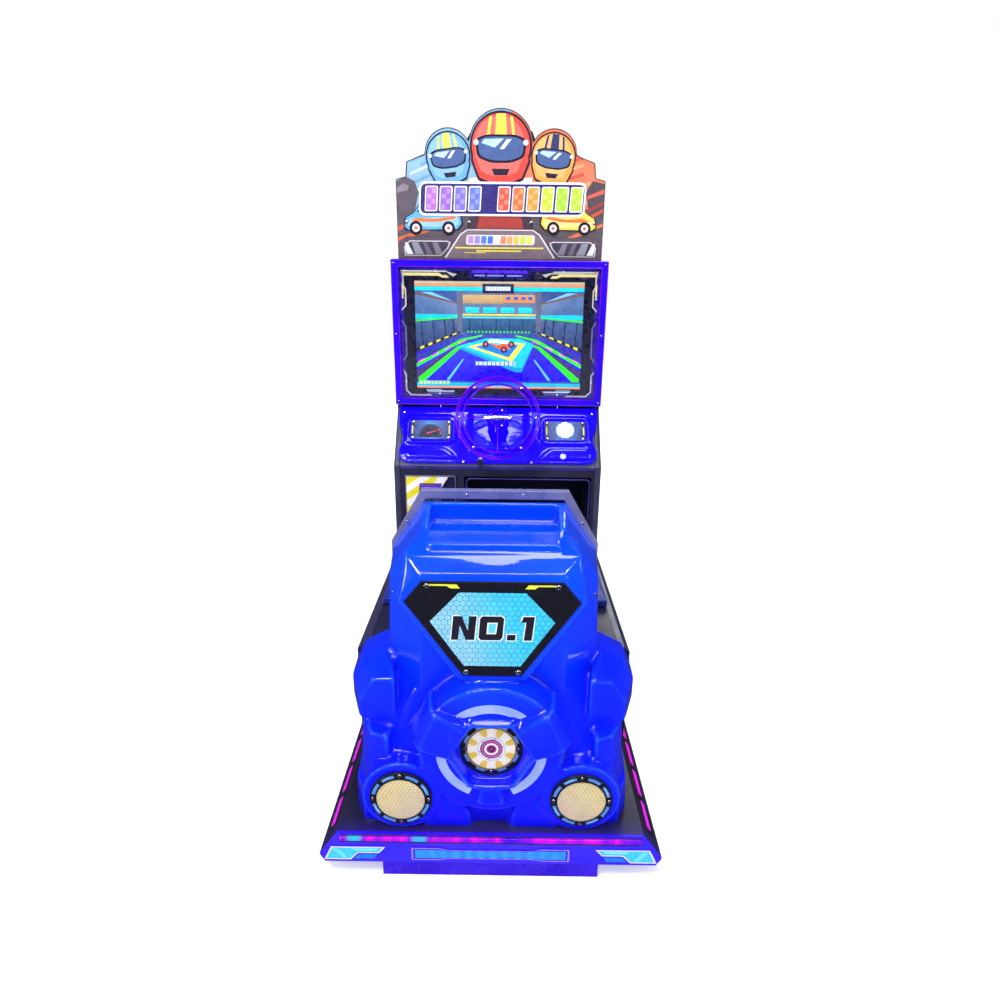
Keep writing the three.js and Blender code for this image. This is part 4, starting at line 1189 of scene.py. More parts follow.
def pad(name, node, build, voxel, cap, held, limit, channels=None):
    """A stuffed piece: a slightly small closed form, remeshed, swollen as cloth, then sewn."""
    work = bmesh.new()
    build(work)
    work.transform(WORLD)
    piece = loose(work, name)
    remesh(piece, voxel * MM)
    relax = piece.modifiers.new("relax", "SMOOTH")
    relax.iterations = 3
    apply_all(piece)
    inflate(piece, cap, held)
    finer = piece.modifiers.new("finer", "SUBSURF")
    finer.levels = finer.render_levels = 1
    apply_all(piece)
    for v in piece.data.vertices:
        co = v.co / MM
        if channels:
            co = channels(co)
        v.co = Vector([min(max(c, a), b) for c, a, b in zip(co, limit[0], limit[1])]) * MM
    smooth_all(piece.data)
    stand_for(piece, node, "leather")
    return piece


def groove(distance, width, depth):
    return depth * math.exp(-((distance / width) ** 2))


BACK_OUTLINE = [(-193, 314), (193, 314), (193, 607), (139, 704), (-139, 704), (-193, 607)]


def inside_distance(x, y, outline):
    """How far a point lies inside a convex counterclockwise outline."""
    least = 1e9
    for (ax, ay), (bx, by) in zip(outline, outline[1:] + outline[:1]):
        length = math.hypot(bx - ax, by - ay)
        least = min(least, ((bx - ax) * (y - ay) - (by - ay) * (x - ax)) / length)
    return least


def back_channels(co):
    if co.y < -262:
        return co
    inside = inside_distance(co.x, co.z, BACK_OUTLINE)
    depth = groove(inside - 34, 3.2, 6.0)
    if inside > 34:
        for z in (395, 465, 535, 605):
            depth = max(depth, groove(co.z - z, 4.0, 6.5))
    co.y -= depth
    return co


def seat_channels(co):
    if co.z < 340:
        return co
    inside = inside_distance(co.x, co.y, [(-210, -222), (210, -222), (210, 54), (-210, 54)])
    depth = groove(inside - 36, 3.2, 6.0)
    if inside > 36:
        for x in (-116, -58, 0, 58, 116):
            depth = max(depth, groove(co.x - x, 4.0, 6.0))
    co.z -= depth
    return co


def add_block(work, x0, x1, y0, y1, z0, z1):
    add_hull(work, [(x, y, z) for x in (x0, x1) for y in (y0, y1) for z in (z0, z1)])


back_pad = pad("back_cushion_cover", "back_cushion",
    lambda w: add_hull(w, [(x * k, y, 510 + (z - 510) * k) for x, z in BACK_OUTLINE
                           for y, k in ((-302.5, 1.02), (-256, 1.0), (-240, 0.9))]),
    6.0, 16, lambda co: co.y < -296, ((-204, -303, 304), (204, -226.5, 716)), back_channels)
seat_pad = pad("seat_cushion_cover", "seat_cushion",
    lambda w: add_hull(w, [(x, y, z) for x in (-208, 208) for y,
                           z in ((-222, 301), (52, 301), (52, 350), (34, 358), (-222, 350))]),
    6.0, 18, lambda co: co.z < 308, ((-220, -224.5, 300.5), (220, 60, 372)), seat_channels)
for side, s in SIDES:
    x0, x1 = sorted((s * 238, s * 278))
    pad("arm_pad_cover_" + side, "arm_pad_" + side,
        lambda w: add_block(w, x0, x1, -180, 25, 400.6, 421),
        4.0, 8, lambda co: co.z < 404, ((x0 - 5, -185, 400.4), (x1 + 5, 30, 428)))


def piping(name, cushion, path, radius):
    """A corded seam: a closed path laid on the surface of a cushion."""
    skin = BVHTree.FromPolygons([v.co for v in cushion.data.vertices],
                                [f.vertices for f in cushion.data.polygons])
    laid = []
    for start, end in zip(path, path[1:] + path[:1]):
        start, end = Vector(start), Vector(end)
        steps = max(1, int((end - start).length / 9))
        for i in range(steps):
            spot, normal, _, _ = skin.find_nearest(start.lerp(end, i / steps) * MM)
            laid.append(tuple(spot / MM + normal * radius * 0.35))
    for _ in range(4):
        laid = [tuple((Vector(a) + 2 * Vector(b) + Vector(c)) / 4)
                for a, b, c in zip(laid[-1:] + laid[:-1], laid, laid[1:] + laid[:1])]
    bars(name, "leather", "blue_leather", [laid], radius)


piping("back_piping", back_pad, [(x, -242, 510 + (z - 510) * 0.985) for x, z in soft_outline(
    [(x * 1.03, z) for x, z in BACK_OUTLINE], 16, 6)], 2.6)
piping("seat_piping", seat_pad, [(x, y, 356) for x, y in rounded(-214, 214, -221, 56, 20, 6)], 2.6)

# ---------------------------------------------------------------- seat surround and side walls
screws("trim_screws", [(s * x, z, 0) for s in (-1, 1) for x, z in ((60, 730), (190, 668), (216, 520))], 3.2,
       at_rear(FRONT_Y))


def side_walls():
    """Edge moulding, gasket and screws of the two walls beside the seat."""
    for side, s in SIDES:
        work = bmesh.new()
        strip = [(300.25, 378), (301.3, 378), (301.3, 388.6), (288.8, 401.2), (276, 401.2), (276, 400.3),
                 (287.9, 400.3), (300.25, 388)]
        add_prism(work, [(s * x, z) for x, z in strip][::s], -192.6, 362.6)
        place(work, "wall_edge_" + side, "edge", "cabinet", "trim_plastic", REAR)
        joint = ((228, 424), (262, 413), (286, 399), (297, 386), (300, 372), (300, 340), (300, 220), (300, 104))
        bars("wall_gasket_" + side, "gasket", "black_plastic", [upright(mirrored(joint, s), -363.2)], 1.7,
             closed=False)
        bolts = bmesh.new()
        add_screws(bolts, [(y, z, 0) for y in (-320, -90, 150) for z in (140, 350)], 4.0)
        turn = Matrix.Translation((s * 300.2 * MM, 0, 0)) @ Matrix.Rotation(s * math.pi / 2, 4, "Z") @ REAR
        place(bolts, "wall_screws_" + side, "chrome", "cabinet", "chrome", turn, 35)


side_walls()

# ---------------------------------------------------------------- cabinet boards
def board_edges():
    """Grey push-in moulding along the front edges of the side boards."""
    route = [(193, 104), (193, 656), (306, 801)]
    for side, s in SIDES:
        work = bmesh.new()
        for (ya, za), (yb, zb) in zip(route, route[1:]):
            along = Vector((0, yb - ya, zb - za)).normalized()
            out = Vector((0, -along.z, along.y))
            points = []
            for y, z in ((ya, za), (yb, zb)):
                for x, h in ((282.6, 0.25), (299.4, 0.25), (298, 1.1), (284, 1.1)):
                    points.append((s * x, y + out.y * h, z + out.z * h))
            add_hull(work, points)
        place(work, "board_edge_" + side, "edge", "cabinet", "trim_plastic")
    ledge = bmesh.new()
    add_hull(ledge, [(x, y, z) for x in (-281.4, 281.4) for y, z in ((192, 647.6), (192, 655.2), (194.4, 657.6),
                                                                     (199, 657.6), (199, 647.6))])
    place(ledge, "dash_ledge", "ledge", "cabinet", "trim_plastic")
    bars("footwell_bead", "ledge", "trim_plastic", [upright(rounded(-90, 268, 124, 620, 12), 191.6)], 1.8)


board_edges()


def coin_panel():
    """The coin door: a printed leaf with a cast entry plate over it."""
    x0, x1, z0, z1 = -266, -122, 434, 627
    y = 187.0
    art = Art()
    art.add(rect(x0, z0, x1, z1), (34, 32, 64))
    painted = [(x0, z0), (-176, z0), (-176, 560), (-138, z1), (x0, z1)]
    art.add(painted, (246, 246, 250))
    stripes = []
    for i in range(-6, 12):
        base = 420 + 44 * i
        slant = [(x0, base), (x0 + 160, base + 110), (x0 + 160, base + 132), (x0, base + 22)]
        part = clip(slant, painted)
        if len(part) > 2:
            stripes.append(part)
    art.many(stripes, (240, 226, 28))
    art.add([(-180, z0), (-172, z0), (-172, 558), (-134, z1), (-142, z1), (-180, 562)], (22, 20, 40))
    art.window(-226, 470, -162, 606)
    art.done("coin_door_print", at_rear(y - 0.05), "coin_door", "coin_door_paint")
    bars("coin_door_bead", "trim", "trim_plastic", [upright(rounded(x0, x1, z0, z1, 5), y - 0.6)], 1.0,
         "coin_door")
    plate = bmesh.new()
    add_tube(plate, upright(rounded(-225, -163, 471, 595, 5), 176.8), 1.6, 8, closed=True)
    add_block(plate, -193.5, -191.9, 175.2, 176.9, 542, 586)
    add_block(plate, -188.1, -186.5, 175.2, 176.9, 542, 586)
    place(plate, "coin_entry_frame", "zinc", "coin_door", "zinc_case")
    line = bmesh.new()
    add_block(line, -226, -162, 174.6, 176.8, 597.2, 601.2)
    place(line, "coin_entry_line", "tube", "coin_door", "blue_tube")
    screws("coin_entry_screws", [(x, z, 0) for x in (-219, -169) for z in (478, 588)], 4.2, at_rear(176.9),
           "coin_door")
    barrel = bmesh.new()
    add_lathe(barrel, [(0, 0), (5.6, 0), (5.6, 0.9), (4.6, 1.3), (0, 1.3)], 24, (-141, 530))
    add_block(barrel, -141.5, -140.5, 526, 534, 1.2, 1.7)
    place(barrel, "coin_lock_face", "steel", "coin_door_lock", "bare_steel", at_rear(184))


coin_panel()


# ---------------------------------------------------------------- dash
PLATE_X, PLATE_UP = 196, 16  # centre of each dash plate, across and up the dash


def dash_moulding():
    """A soft blue moulding with a raised ring round each plate, a tray under it and a swelling behind the wheel."""
    slab("dash_board", "laminate_grey", "black_laminate", DASH, rounded(-281.4, 281.4, -91, 93, 3),
         -3, 0.5, 0.6, 1)
    half = [(70, -85), (255, -85), (276, -79), (286, -62), (285, -42), (278, -24), (277, -4), (281, 14),
            (290, 34), (292, 60), (292, 92)]
    outline = half + [(-x, y) for x, y in reversed(half)]
    low = bmesh.new()
    add_prism(low, outline, 1.0, 15.5)
    for s in (-1, 1):
        x0 = s * PLATE_X
        ring_outer = rounded(x0 - 74, x0 + 74, PLATE_UP - 45, PLATE_UP + 45, 20, 6)
        ring_inner = rounded(x0 - 62, x0 + 62, PLATE_UP - 34, PLATE_UP + 34, 12, 6)
        for (a, b), (c, d) in zip(zip(ring_outer, ring_outer[1:] + ring_outer[:1]),
                                  zip(ring_inner, ring_inner[1:] + ring_inner[:1])):
            add_hull(low, [(p[0], p[1], z) for p in (a, b, c, d) for z in (8, 19)]
                     + [((p[0] * 0.4 + q[0] * 0.6), (p[1] * 0.4 + q[1] * 0.6), 22.0) for p,
                        q in ((a, c), (b, d))])
        add_hull(low, [(s * x, y, z) for x, y in ((112, -78), (268, -78), (278, -60), (270, -36), (150, -36),
                                                  (128, -52))
                       for z in (8,)] + [(s * x, y, 20) for x, y in ((124, -72), (258, -72), (266, -58),
                                                                     (258, -43), (156, -43), (138, -55))])
    add_hull(low, both([(96, -60, 10), (96, 80, 10), (76, -44, 20), (76, 70, 20)]))
    low.transform(DASH)
    mould = loose(low, "dash_moulding")
    remesh(mould, 3.0 * MM)
    soft = mould.modifiers.new("soft", "SMOOTH")
    soft.iterations = 6
    apply_all(mould)
    smooth_all(mould.data)
    stand_for(mould, "control_panel", "dash")
    screws("dash_screws", [(x, y, 0) for x, y in ((-98, -84), (98, -84), (-276, 74), (276, 74))], 4.2,
           DASH @ Matrix.Translation((0, 0, 15.2)))
    turned("dash_lock", "steel", "bare_steel", DASH @ Matrix.Translation((0, 0, 19.0)),
           [(0, 0), (9, 0), (9, 2.4), (8, 3.2), (5, 3.2), (4.6, 2.2), (0, 2.2)], 28, angle=35, centre=(188, -66))
    keys = bmesh.new()
    add_lathe(keys, [(0, 0), (8, 0), (8, 4), (6.5, 5), (0, 5)], 28, (-50, -78))
    keys.transform(DASH @ Matrix.Translation((0, 0, 14)))
    spot = DASH @ Vector((-50, -80, 22)) / MM
    for dx, lean, long in ((-5, -0.2, 30), (5, 0.16, 26)):
        part = bmesh.new()
        add_prism(part, soft_outline([(-5, 0), (5, 0), (6, -10), (2.4, -14), (2.2, -long), (-2.2, -long),
                                      (-2.4, -14), (-6, -10)], 3), -0.9, 0.9, 0.3, 1)
        part.transform(Matrix.Translation(Vector((spot.x + dx, spot.y,
                                                  spot.z + 2)) * MM) @ Matrix.Rotation(lean, 4, "Y") @ REAR)
        absorb(keys, part)
    mesh = bpy.data.meshes.new("dash_keys")
    bmesh.ops.recalc_face_normals(keys, faces=keys.faces[:])
    keys.to_mesh(mesh)
    keys.free()
    shade(mesh, 35)
    settle(mesh, "dash_keys", "steel", "cabinet", "bare_steel")


def dash_plates():
    """The gauge on the left and the lit start button's surround on the right."""
    holder = DASH @ Matrix.Translation((0, 0, 18.3))
    for side, s in SIDES:
        x0 = s * PLATE_X
        art = Art()
        art.add(rounded(x0 - 58, x0 + 58, PLATE_UP - 30, PLATE_UP + 30, 7), (40, 44, 92))
        region = [(x0 - 57, -13), (x0 + 57, -13), (x0 + 57, 45), (x0 - 57, 45)]
        fade = lambda px, py: blend_rgb((44, 60, 130), (70, 150, 240), 1.1 - abs(px - x0) / 48)
        art.tiles(honeycomb(region, 3.4, 0.5, fade))
        for k in (-1, 1):
            art.add([(x0 + k * x, y) for x, y in ((47, -12), (57, -12), (57, 44), (47, 44), (51, 34), (51, -2))],
                    (22, 20, 44))
            art.add([(x0 + k * x, y) for x, y in ((52, 4), (55.5, 2), (55.5, 30), (52, 28))], (236, 226, 120))
        if s < 0:
            art.add([(x0 + 34 * math.cos(math.radians(a)), 2 + 32 * math.sin(math.radians(a)))
                     for a in range(-20, 201, 10)], (16, 14, 60))
            art.many([band(x0, 2, 27, 30.5, a - 1.2, a + 1.2, 2) for a in range(0, 181, 18)], (130, 150, 230))
            art.add(band(x0, 2, 28.4, 30.4, 0, 36, 8), (230, 60, 70))
            art.add([(x0 - 9, 3), (x0 - 8, 6), (x0 + 26, 17), (x0 + 26.6, 15.8)], (238, 50, 84))
            art.add(circle(x0 - 8.5, 4.5, 3.6, 20), (200, 44, 74))
        else:
            art.add(circle(x0, PLATE_UP, 29, 48), (30, 90, 240))
            art.add(circle(x0, PLATE_UP, 27.5, 48), (150, 190, 252))
        if s > 0:
            faces = [f for f in art.work.faces if all(math.hypot(v.co.x - x0, v.co.y - PLATE_UP) < 21
                                                      for v in f.verts)]
            bmesh.ops.delete(art.work, geom=faces, context="FACES")
        art.done("dash_print_" + side, holder, "cabinet", "black_plastic")
        screws("dash_plate_screws_" + side, [(x0 + i * 52, PLATE_UP + k * 25, 0.3) for i in (-1, 1)
                                             for k in (-1, 1)], 4.0, holder)


dash_moulding()
dash_plates()


# ---------------------------------------------------------------- steering
def wheel():
    """A clear rim with lit edges, three spokes, a hub and a plain chrome bar, with the column behind it."""
    hoop = bmesh.new()
    closed_lathe(hoop, [(95, -4.5), (97, -6.5), (115, -6.5), (117, -4.5), (117, 4.5), (115, 6.5), (97, 6.5),
                        (95, 4.5)], 96)
    rim = place(hoop, "wheel_rim", "acrylic", "steering", "blue_acrylic", WHEEL, 40)
    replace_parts(rim, "steering_wheel")
    for name, radius, thick, high in (("outer", 115.6, 1.7, 6.0), ("middle", 109.5, 0.9, 6.4),
                                      ("inner", 96.4, 1.4, 6.0)):
        bars("wheel_ring_" + name, "tube", "blue_tube", [in_plane(circle(0, 0, radius, 96), z)
                                                         for z in (-high, high)],
             thick, "steering", WHEEL)
    spokes = bmesh.new()
    for turn in (0, 180, 270):
        part = bmesh.new()
        add_prism(part, soft_outline([(18, -11), (70, -5), (97, -8), (97, 8), (70, 5), (18, 11)], 8), -3, 3, 1.0,
                  2)
        part.transform(Matrix.Rotation(math.radians(turn), 4, "Z"))
        absorb(spokes, part)
    place(spokes, "wheel_spokes", "acrylic", "steering", "blue_acrylic", WHEEL, 40)
    lines = bmesh.new()
    for turn in (0, 180, 270):
        add_tube(lines, [(*polar(r, turn), 3.2) for r in (26, 94)], 0.9, 8)
    add_tube(lines, in_plane(circle(0, 0, 21, 48), 5), 1.0, 8, closed=True)
    place(lines, "wheel_lines", "tube", "steering", "blue_tube", WHEEL)
    turned("wheel_hub", "acrylic", "blue_acrylic", WHEEL,
           [(0, -8), (30, -8), (31, -7), (31, 2), (29, 4), (20, 4.6), (0, 4.8)], 56, "steering", 40)
    slab("wheel_bar", "chrome", "chrome", WHEEL, soft_outline([(-41, -4), (36, -5), (41, 5), (-36, 4)], 3), 5,
         7.4, 0.9, 2,
         body="steering")
    screws("wheel_screws", [(*polar(106, a), 6.5) for a in (0, 52, 128, 180, 232, 308)], 4.0, WHEEL, "steering")
    screws("wheel_hub_screws", [(*polar(25, a), 4.2) for a in (60, 180, 300)], 2.6, WHEEL, "steering")
    folds = [(30 - 13 * i / 12 + (2.2 if i % 2 else 0), -78 + 54 * i / 12) for i in range(13)]
    turned("column_boot", "dash", "black_plastic", WHEEL, [(0, -78)] + folds + [(0, -24)], 40, angle=60)


wheel()

def pedal_treads():
    """Ribbed rubber on the two pedals, in the plane of their treads."""
    for name, body, x in (("brake", "brake", 38), ("accelerator", "accelerator", 138)):
        turn = Matrix.Translation(Vector((x, 262, 135)) * MM) @ Matrix.Rotation(math.radians(50), 4, "X") @ WORLD
        work = bmesh.new()
        add_prism(work, rounded(-30, 30, 44, 162, 7), 10.2, 12.4, 0.8, 2)
        for i in range(9):
            y = 54 + 12 * i
            add_prism(work, rounded(-25, 25, y, y + 6, 2.4, 3), 12.2, 14.4, 0.6, 1)
        place(work, name + "_tread", "rubber", body, "black_plastic", turn)


HINGE_X = 198.5  # the service door's hinge line, and its far edge mirrored


def back_details():
    """Fixings on the far side: hinges and lock of the service door, panel screws."""
    back = Matrix.Translation((0, 596.05 * MM, 0)) @ FRONT
    for name, body, near, far in (("service_hinge_plates", "cabinet", HINGE_X + 4, HINGE_X + 20),
                                  ("service_door_straps", "service_door", HINGE_X - 34, HINGE_X - 5)):
        plates = bmesh.new()
        for z in (250, 710):
            add_prism(plates, rounded(near, far, z - 26, z + 26, 3), 0, 1.0, 0.3, 1)
            add_screws(plates, [((near + far) / 2, z + dz, 1.0) for dz in (-17, 17)], 3.0)
        place(plates, name, "steel", body, "dark_steel", back, 35)
    lock, lock_x = bmesh.new(), -HINGE_X * 0.89
    add_lathe(lock, [(0, 0), (12, 0), (12, 1.6), (10.5, 2.8), (7.4, 2.8), (7, 1.8), (0, 1.8)], 32, (lock_x, 480))
    add_block(lock, lock_x - 0.8, lock_x + 0.8, 475.5, 484.5, 1.6, 2.2)
    place(lock, "service_lock", "chrome", "service_door", "chrome", back, 35)
    screws("back_screws", [(s * 268, z, 0) for s in (-1, 1) for z in (190, 350, 520, 690, 840)], 4.4, back)


# ---------------------------------------------------------------- screen and bezel
def screen_picture():
    """A plain garage with a turning platform and an empty kart; sizes in per cent of the picture."""
    width, height, middle = 474, 296, 1016.5
    art = Art()
    spot = lambda u, v: ((u - 50) / 100 * width, middle + (50 - v) / 100 * height)
    shape = lambda *points: [spot(u, v) for u, v in points]
    other_half = lambda *points: shape(*[(100 - u, v) for u, v in points])

    def quad(u0, v0, u1, v1, colour, low=None):
        art.add(shape((u0, v1), (u1, v1), (u1, v0), (u0, v0)), None, [low or colour, low or colour, colour,
                                                                      colour])

    quad(0, 0, 100, 100, (60, 80, 130))
    quad(27, 9, 73, 48, (96, 112, 140))
    art.add(shape((0, 9), (27, 20), (27, 50), (0, 66)), None, [(84, 116, 156), (110, 130, 160), (56, 70, 110),
                                                               (40, 52, 100)])
    art.add(shape((100, 9), (100, 66), (73, 50), (73, 20)), None, [(84, 116, 156), (40, 52, 100), (56, 70, 110),
                                                                   (110, 130, 160)])
    art.add(shape((4, 10), (24, 19), (10, 10)), (120, 190, 236))
    art.add(shape((96, 10), (90, 10), (76, 19)), (120, 190, 236))
    quad(28, 12, 52, 20, (196, 164, 110), (176, 142, 92))
    quad(52, 12, 71, 19, (238, 150, 70), (222, 128, 58))
    for u in (54, 58.5, 63, 67):
        quad(u, 13.5, u + 2.6, 16.5, (40, 96, 190))
    for u in (30, 40.5, 51, 61.5):
        quad(u, 23.5, u + 8, 28.5, (30, 214, 226), (24, 180, 216))
    quad(27, 29.5, 73, 31, (240, 206, 60))
    quad(27, 32, 73, 33.4, (70, 206, 210))
    quad(27, 34, 73, 47, (52, 92, 128), (40, 70, 110))
    for u in (32, 40, 48, 56, 64):
        quad(u, 34, u + 0.5, 47, (24, 34, 66))
    for half in (shape, other_half):
        art.add(half((0, 30), (26, 30), (26, 33), (0, 34.5)), (24, 190, 220))
        art.add(half((0, 35.2), (26, 32.2), (26, 33.4), (0, 37)), (54, 224, 44))
        for u in (3, 10, 17, 22):
            t = u / 26
            art.add(half((u, 37 - 3 * t), (u + 0.6, 37 - 3 * t), (u + 1.6, 62 - 12 * t), (u + 1.0, 62 - 12 * t)),
                    (20, 26, 60))
        art.add(half((24.5, 8), (28.5, 8), (28, 46), (25.5, 47)), (92, 98, 120))
        art.add(half((0, 9.5), (26, 19.5), (26, 21), (0, 12)), (110, 84, 74))
        for i in range(11):
            a, b = i / 11, (i + 1) / 11
            tone = (240, 222, 30) if i % 2 else (20, 20, 34)
            art.add(half((27 * a, 64.5 - 18 * a), (27 * b, 64.5 - 18 * b), (27 * b, 62.2 - 16.8 * b),
                         (27 * a, 62.2 - 16.8 * a)), tone)
    art.add(shape((0, 66), (30, 47), (70, 47), (100, 66), (100, 93), (0, 93)), None,
            [(44, 24, 170), (60, 70, 150), (60, 70, 150), (44, 24, 170), (26, 0, 255), (26, 0, 255)])
    for i in range(18):
        u = 31 + 2.15 * i
        quad(u, 45.2, u + 1.1, 46.8, (60, 214, 40))
    for half in (shape, other_half):
        art.add(half((0, 69), (36, 48.6), (38, 48.6), (0, 73)), (44, 56, 130))
        art.add(half((0, 76.5), (27, 53), (40, 48.8), (40, 50), (29, 54.5), (0, 80)), (54, 236, 28))
        for i in range(4):
            a = i / 4
            art.add(half((1 + 33 * a, 74 - 23 * a), (5 + 33 * a, 71 - 22.5 * a), (5.4 + 33 * a, 72 - 22.5 * a),
                         (1.4 + 33 * a, 75.2 - 23 * a)), (232, 30, 220))
        art.add(half((0, 83), (24, 61), (26, 61), (4, 93), (0, 93)), (66, 44, 110))
        art.add(half((1, 90), (25, 60), (33, 56), (33, 57.6), (27, 61), (5, 93), (1, 93)), (40, 240, 30))
        art.add(half((18, 92), (28, 72), (29, 72), (20, 92)), (90, 190, 236))
    art.add(shape((26, 62), (42, 53), (62, 53), (71, 58), (64, 84), (60, 84)), (16, 150, 205))
    art.add(shape((26, 60), (42, 52), (62, 52), (71, 57), (64, 80), (60, 80)), (26, 196, 232))
    art.add(shape((31, 60), (44, 55), (66, 56.5), (58, 74)), (248, 226, 80))
    art.add(shape((35.5, 60.2), (45, 56.6), (62, 57.6), (56, 70)), (30, 120, 196))
    art.add(shape((45, 58), (50, 55.5), (55, 58), (57, 62), (50, 62)), (236, 92, 44))
    art.add(shape((46.5, 56.5), (50, 55), (52, 57), (48.5, 58.6)), (36, 210, 226))
    art.add(shape((43, 54.5), (45, 52.5), (56, 54), (57, 56), (51, 57)), (214, 240, 250))
    for u, v in ((42, 57.5), (53, 62.5), (57.5, 57.5)):
        art.add(circle(*spot(u, v), 9, 20), (30, 28, 44))
        art.add(circle(*spot(u, v), 4.6, 16), (222, 96, 110))
    quad(0, 2.6, 100, 4.6, (250, 136, 76))
    quad(0, 5.0, 100, 8.6, (26, 204, 244))
    quad(0, 0, 100, 2.4, (180, 170, 140))
    quad(40, 2, 58.5, 10.5, (52, 52, 76), (36, 36, 56))
    quad(42, 4.6, 56.5, 8.2, (214, 222, 236))
    for i in range(8):
        quad(43 + 1.7 * i, 5.2, 43.3 + 1.7 * i, 7.6, (52, 52, 76))
    quad(36, 74, 60, 77.6, (196, 216, 250))
    for i in range(9):
        quad(37.6 + 2.6 * i, 74, 38.1 + 2.6 * i, 77.6, (22, 40, 190))
    quad(0, 94.6, 100, 98.4, (26, 178, 226))
    quad(0, 98.4, 100, 100, (250, 130, 90))
    quad(1.5, 93, 20, 96.2, (180, 226, 120))
    for i in range(7):
        quad(3.4 + 2.4 * i, 93, 3.9 + 2.4 * i, 96.2, (26, 120, 200))
    art.done("screen_picture", at_rear(287.7), "cabinet", "screen_glass", "screen")


def bezel():
    """The print on the screen's glass, the lit edges of its frame and the screws."""
    left, right, low, high = -279.5, 279.5, 840.5, 1199.5
    u0, u1, v0, v1 = -238, 238, 867.5, 1165.5
    art = Art()
    tone = (20, 18, 46)
    art.many([rect(left, low, u0, high), rect(u1, low, right, high), rect(u0, low, u1, v0),
              rect(u0, v1, u1, high)], tone)
    art.many([rect(left, low, left + 12, high), rect(right - 12, low, right, high),
              rect(left, low, right, low + 9),
              rect(left, high - 9, right, high)], (44, 28, 150))
    for i in range(34):
        x = DRAW.uniform(left + 30, right - 40)
        y = DRAW.uniform(v1 + 6, high - 14)
        grey = DRAW.uniform(50, 112)
        art.add([(x, y), (x + DRAW.uniform(8, 26), y + DRAW.uniform(-3, 3)),
                 (x + DRAW.uniform(6, 20), y + DRAW.uniform(3, 8))],
                (grey, grey * 0.92, grey * 1.15))
    for s in (-1, 1):
        art.stack(side_of(s), [
            ([(272, 1192), (150, 1192), (142, 1184), (128, 1176), (118, 1183), (130, 1183), (140, 1188),
              (266, 1188)], (216, 214, 206)),
            ([(266, 1186), (168, 1186), (158, 1180), (146, 1180), (140, 1173), (158, 1173), (170, 1178),
              (266, 1178)], (240, 226, 150)),
            ([(274, 1192), (270, 1192), (270, 1150), (264, 1140), (264, 1100), (274, 1088), (274, 1084),
              (260, 1098), (260, 1142), (266, 1152), (266, 1186), (274, 1194)], (214, 206, 190)),
            ([(272, 1160), (267, 1150), (267, 1128), (272, 1120)], (238, 224, 150)),
            ([(274, 1060), (262, 1042), (262, 960), (274, 944), (274, 950), (266, 962), (266, 1040), (274, 1054)],
             (120, 112, 160)),
            ([(274, 920), (266, 908), (266, 862), (254, 850), (200, 850), (194, 846), (256, 846), (270, 860),
              (270, 906), (274, 912)], (200, 192, 214)),
            ([(128, 860), (196, 860), (206, 854), (200, 850), (134, 850)], (84, 78, 156)),
            ([(206, 858), (132, 858), (128, 861), (210, 861)], (232, 240, 250)),
            ([(168, 862.2), (212, 862.2), (208, 865), (164, 865)], (120, 210, 246))])
        for x, y in ((177, 1191), (270, 1120), (268, 888), (171, 852)):
            art.add(circle(s * x, y, 2.6, 16), (246, 246, 250))
    art.add([(-84, 1172), (84, 1172), (84, 1199), (-84, 1199)], (24, 12, 112))
    art.add([(-78, 1186), (78, 1186), (74, 1194), (-74, 1194)], (88, 40, 246))
    for x0, x1 in ((-70, -40), (-34, 12), (20, 62)):
        art.add(rect(x0, 1178, x1, 1181.4), (150, 170, 250))
    art.done("bezel_print", at_rear(282.9), "cabinet", "screen_glass", "print_lit")
    screws("bezel_screws", [(s * x, z, 0) for s in (-1, 1) for x, z in ((291, 1210), (291, 830), (291, 1020))],
           3.2, at_rear(274.0))
    edges = (rounded(-298.4, 298.4, 821.6, 1218.4, 3), rounded(-281.6, 281.6, 838.4, 1201.6, 2))
    bars("bezel_edge_glow", "tube", "blue_tube", [upright(edge, 274.6) for edge in edges], 1.5)


pedal_treads()
back_details()
screen_picture()
bezel()


# ---------------------------------------------------------------- topper
def topper_top(x):
    """Height of the topper's outline above x."""
    x = abs(x)
    high = 1490.0 if x <= 206 else (1490 - 18 * (x - 206) / 51 if x <= 257 else 1436 - 8 * (x - 257) / 30.5)
    if abs(x - 143) < 63:
        high = max(high, 1492 + math.sqrt(63 ** 2 - (x - 143) ** 2))
    if x < 86:
        high = max(high, 1516 + math.sqrt(86 ** 2 - x * x))
    return high


def span(points):
    """Signed area of an outline."""
    return 0.5 * sum(ax * by - bx * ay for (ax, ay), (bx, by) in zip(points, points[1:] + points[:1]))


def on_topper(points):
    """Splits long edges and pulls what lies outside down to the outline."""
    made = []
    for (ax, ay), (bx, by) in zip(points, points[1:] + points[:1]):
        parts = max(1, int(math.hypot(bx - ax, by - ay) / 4))
        for i in range(parts):
            t = i / parts
            x, y = ax + (bx - ax) * t, ay + (by - ay) * t
            x = min(max(x, -286.6), 286.6)
            made.append((x, min(max(y, 1223.4), topper_top(x) - 1.2)))
    clean = []
    for p in made:
        if not clean or math.hypot(p[0] - clean[-1][0], p[1] - clean[-1][1]) > 0.2:
            clean.append(p)
    return clean if abs(span(clean)) > 0.45 * abs(span(points)) else []


